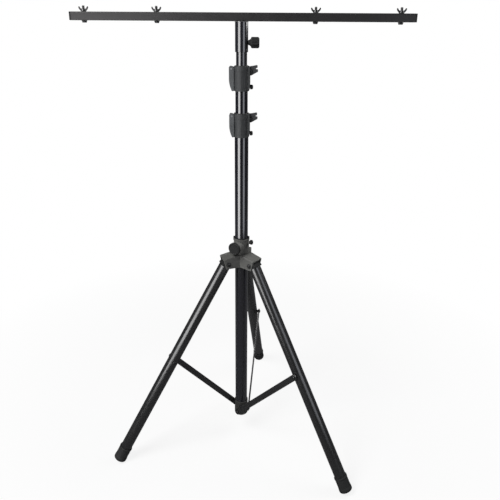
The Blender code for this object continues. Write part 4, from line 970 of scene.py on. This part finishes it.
def build_legs():
    for name in LEG_NAMES:
        frame_ = leg_frame(name)
        body = f"{name}_leg"
        outline = ring_outline(LEG_RADIUS, LEG_RADIUS - TUBE_WALL, SOLE + 0.024, -0.014, 0.0006)
        piece(f"{name}_leg_painted", [turned(outline, SMOOTH, closed=True)], LEG, body, f"{name}_leg_tube",
              at=frame_)

        eye = rounded(arc(0, 0, 0.0135, 0, 180, 25) + [(-0.0175, -0.010, 0.003), (-0.0175, -0.0137, 0),
                                                       (0.0175, -0.0137, 0), (0.0175, -0.010, 0.003)])
        spigot = rounded([(0, -0.012), (0.0186, -0.012), (0.0186, -0.0435, 0.0008), (0, -0.0435)], count=3)
        flange = rounded([(0, -0.0120, 0), (0.0188, -0.0120, 0.0008), (0.0203, -0.0128, 0.0005),
                          (0.0203, -0.0137, 0.0002), (0, -0.0137, 0)], 0, 3)
        shapes = [prism(eye, -0.0204, 0.0204, 0.0016), turned(spigot, FINE), turned(flange, FINE)]
        piece(f"{name}_leg_eye", shapes, KNOB, body, f"{name}_leg_plug", at=frame_)
        build_foot(name, frame_, body)

        rivet = bolt_head(LEG_RADIUS + GAP, [(0.003, GAP - LEG_RADIUS, 0.0004), (0, GAP - LEG_RADIUS, 0)])
        piece(f"{name}_leg_rivet", [turned(rivet, MEDIUM)], DARK_STEEL, body, f"{name}_rivet",
              at=frame_ @ along_y(z=-BRACE_JOINT_DOWN))
        build_brace(name)


def build_foot(name, frame_, body):
    "Rubber foot: a thick lip, a drawn-in neck and a round-edged sole that stands level on the floor."
    top = 0.043 - LEG_LENGTH
    inner = LEG_RADIUS + GAP
    floor = SOLE + 0.024 - GAP
    lip = 0.0235
    neck = 0.0225
    cup = rounded([(0, floor, 0), (inner, floor, 0), (inner, top, 0.0004), (lip, top, 0.0012),
                   (lip, top - 0.0060, 0.0010), (neck, top - 0.0075, 0.0012), (neck, SOLE + 0.0180, 0.004),
                   (lip, SOLE + 0.0120, 0.004), (lip, SOLE + 0.0050, 0)])
    edge = arc(lip - 0.0050, SOLE + 0.0050, 0.0050, 0, -90, 9)
    shape = placed(turned(cup[:-1] + edge + [(0, SOLE)], FINE), frame_)
    for vert in shape.verts:
        vert.co.z = max(vert.co.z, 0.0)
    piece(f"{name}_rubber_foot", [shape], RUBBER, body, f"{name}_foot")


def build_brace(name):
    base = shift(BRACE_BASE_RADIUS, -BRACE_OFFSET, BRACE_BASE_Z)
    frame_ = radial(LEG_AZIMUTH[name]) @ base @ spin(BRACE_TILT, "Y")
    half = 0.01075
    outline = arc(0, BRACE_LENGTH, half, 0, 180, 17) + arc(0, 0, half, 180, 360, 17)
    body = f"{name}_brace"
    piece(f"{name}_flat_brace", [prism(outline, -0.002, 0.002, 0.0006)], LEG, body, body, at=frame_)
    inner = BRACE_OFFSET - LEG_RADIUS - GAP
    seat = 0.002 + GAP
    tail = [(0.003, -seat, 0), (0.006, -seat, 0.0003), (0.006, -inner, 0.0003), (0, -inner, 0)]
    bolt = bolt_head(seat, tail)
    turn = frame_ @ shift(0, 0, BRACE_LENGTH) @ spin(math.pi / 2, "X")
    piece(f"{name}_brace_screw", [turned(bolt, MEDIUM)], DARK_STEEL, body, f"{name}_brace_bolt", at=turn)


def build_bottom_hub():
    bore = LOWER_DIAMETER / 2 + GAP
    cup = rounded([(0, 0.083, 0), (0.02175, 0.083, 0.002), (0.02575, 0.087, 0.002), (0.02575, 0.147, 0.0012),
                   (bore, 0.147, 0.0004), (bore, 0.0877, 0), (0, 0.0877, 0)])
    shapes = [placed(turned(cup, SMOOTH), MAST)]
    boss = rounded([(0, 0.0258, 0), (0.012, 0.0258, 0.0005), (0.012, 0.0240, 0), (0, 0.0240, 0)])
    for name in LEG_NAMES:
        at_pivot = radial(LEG_AZIMUTH[name]) @ along_y(BRACE_BASE_RADIUS, 0, BRACE_BASE_Z)
        at_pivot = at_pivot @ spin(math.pi, "X")
        shapes.append(placed(turned(boss, MEDIUM), at_pivot))
        seat = BRACE_OFFSET + 0.002 + GAP
        bolt = bolt_head(seat, [(0.003, bore + 0.0006, 0), (0, bore + 0.0006, 0)])
        piece(f"{name}_base_screw", [turned(bolt, MEDIUM)], DARK_STEEL, "mast", f"{name}_base_bolt",
              at=at_pivot)
    # The bottom cup takes the darker copy of the casting's finish, which is painted shade
    piece("bottom_cup", shapes, CASTING_IN_PAINTED_SHADE, "mast", "bottom_hub")


build_tubes()
build_crossbar()
build_fixture_bolts()
build_wing_nuts()
build_socket()
for which in CLAMPS:
    build_clamp(which)
build_hub()
build_legs()
build_bottom_hub()

for hidden in ("brake_pad", "middle_guide_bush", "top_guide_bush"):
    for holder in bpy.data.objects[hidden].material_slots:
        holder.material = BUSH


# Floor, studio light and camera

# FLOOR_NEAR and FLOOR_FAR bound the fade to white, as distances from the origin
WHITE = (1.0, 1.0, 1.0, 1.0)
GLOSSY_WHITE = 0.03
SKY_COLOUR = (0.92, 0.95, 1.0, 1.0)
SKY_STRENGTH = 0.05
FLOOR_HALF = 12.0
FLOOR_COLOUR = (0.92, 0.92, 0.92, 1.0)
# The floor's colour as reflections see it is painted shade: far darker than the floor itself
FLOOR_SHADE_IN_REFLECTIONS = (0.12, 0.12, 0.125, 1.0)
FLOOR_NEAR = 0.7
FLOOR_FAR = 1.6
FLOOR_WHITE = 0.86
LENS = 37.44
CAMERA_SHIFT = -0.08
CAMERA_PLACE = (0.0834, MAST_Y - 1.7053, 1.552)
CAMERA_PAN = math.radians(1.80)
CAMERA_PITCH = math.radians(19.56)
CAMERA_ROLL = math.radians(0.392)


def seen_directly(tree):
    "Is 1 for camera and see-through rays and a small share of 1 for reflections."
    path = node(tree, "ShaderNodeLightPath").outputs
    either = arithmetic(tree, "MAXIMUM", path["Is Camera Ray"], path["Is Transmission Ray"])
    share = arithmetic(tree, "MULTIPLY", path["Is Glossy Ray"], GLOSSY_WHITE)
    return arithmetic(tree, "MAXIMUM", either, share)


def build_world():
    world = bpy.data.worlds.new("studio")
    bpy.context.scene.world = world
    world.use_nodes = True
    tree = world.node_tree
    tree.nodes.clear()
    sky = node(tree, "ShaderNodeBackground", {"Color": SKY_COLOUR, "Strength": SKY_STRENGTH})
    white = node(tree, "ShaderNodeBackground", {"Color": WHITE, "Strength": 1.0})
    both = node(tree, "ShaderNodeMixShader", {0: seen_directly(tree), 1: sky, 2: white})
    node(tree, "ShaderNodeOutputWorld", {"Surface": both})


def build_floor():
    "Pale floor that keeps the stand's soft shadow and fades to plain white further out."
    mat = bpy.data.materials.new("pale_floor")
    mat.use_nodes = True
    tree = mat.node_tree
    tree.nodes.clear()
    place = node(tree, "ShaderNodeTexCoord")
    reach = node(tree, "ShaderNodeVectorMath", {0: place.outputs["Object"]}, operation="LENGTH")
    mirrored = node(tree, "ShaderNodeLightPath").outputs["Is Glossy Ray"]
    # Glossy rays see the darker floor colour, which is painted shade in the reflections
    matte = node(tree, "ShaderNodeBsdfDiffuse", {
        "Color": mixed(tree, mirrored, FLOOR_COLOUR, FLOOR_SHADE_IN_REFLECTIONS)})
    white = node(tree, "ShaderNodeEmission", {"Color": WHITE, "Strength": 1.0})
    fade = ranged(tree, reach.outputs["Value"], FLOOR_NEAR, FLOOR_FAR, FLOOR_WHITE, 1.0)
    both = node(tree, "ShaderNodeMixShader", {0: arithmetic(tree, "MULTIPLY", fade, seen_directly(tree)),
                                              1: matte, 2: white})
    node(tree, "ShaderNodeOutputMaterial", {"Surface": both})
    mesh = bpy.data.meshes.new("studio_floor")
    corners = [(x * FLOOR_HALF, y * FLOOR_HALF, 0) for x, y in ((-1, -1), (1, -1), (1, 1), (-1, 1))]
    mesh.from_pydata(corners, [], [(0, 1, 2, 3)])
    mesh.materials.append(mat)
    new_object("studio_floor", mesh)


def softbox(name, azimuth, distance, height, size, energy, colour=(1, 1, 1), aim=0.85, mirrored_only=False):
    """Area light at an azimuth counted from the front towards +X, turned to a height on the mast.

    A mirrored_only light shows in reflections and lights nothing else."""
    light = bpy.data.lights.new(name, "AREA")
    light.shape = "RECTANGLE"
    light.size, light.size_y = size
    light.energy = energy
    light.color = colour
    lamp = new_object(name, light)
    angle = math.radians(azimuth)
    place = Vector((distance * math.sin(angle), MAST_Y - distance * math.cos(angle), height))
    lamp.location = place
    lamp.rotation_euler = (Vector((0, MAST_Y, aim)) - place).to_track_quat("-Z", "Y").to_euler()
    lamp.visible_diffuse = not mirrored_only


def build_camera():
    "Camera of the photographed view: right of the middle, just under the crossbar's height, looking down."
    data = bpy.data.cameras.new("photo_camera")
    data.lens = LENS
    data.sensor_width = 36.0
    data.shift_y = CAMERA_SHIFT
    data.dof.use_dof = False
    camera = new_object("photo_camera", data)
    bpy.context.scene.camera = camera
    level = math.cos(CAMERA_PITCH)
    forward = Vector((-math.sin(CAMERA_PAN) * level, math.cos(CAMERA_PAN) * level, -math.sin(CAMERA_PITCH)))
    right = forward.cross(Vector((0, 0, 1))).normalized()
    up = right.cross(forward)
    turned_right = right * math.cos(CAMERA_ROLL) + up * math.sin(CAMERA_ROLL)
    turned_up = up * math.cos(CAMERA_ROLL) - right * math.sin(CAMERA_ROLL)
    basis = Matrix((turned_right, turned_up, -forward)).transposed().to_4x4()
    camera.matrix_world = Matrix.Translation(CAMERA_PLACE) @ basis


build_world()
build_floor()
softbox("left_panel", -41, 1.2, 0.99, (0.83, 1.32), 15.5, aim=0.99, mirrored_only=True)
softbox("right_panel", 43, 1.3, 0.99, (0.71, 1.32), 4.4, colour=(0.90, 0.93, 1.0), aim=0.99,
        mirrored_only=True)
softbox("key_panel", -52, 1.9, 2.96, (1.3, 1.3), 85)
softbox("fill_panel", 108, 1.6, 2.1, (1.4, 1.4), 26)
build_camera()

bpy.context.scene.view_settings.view_transform = "Standard"
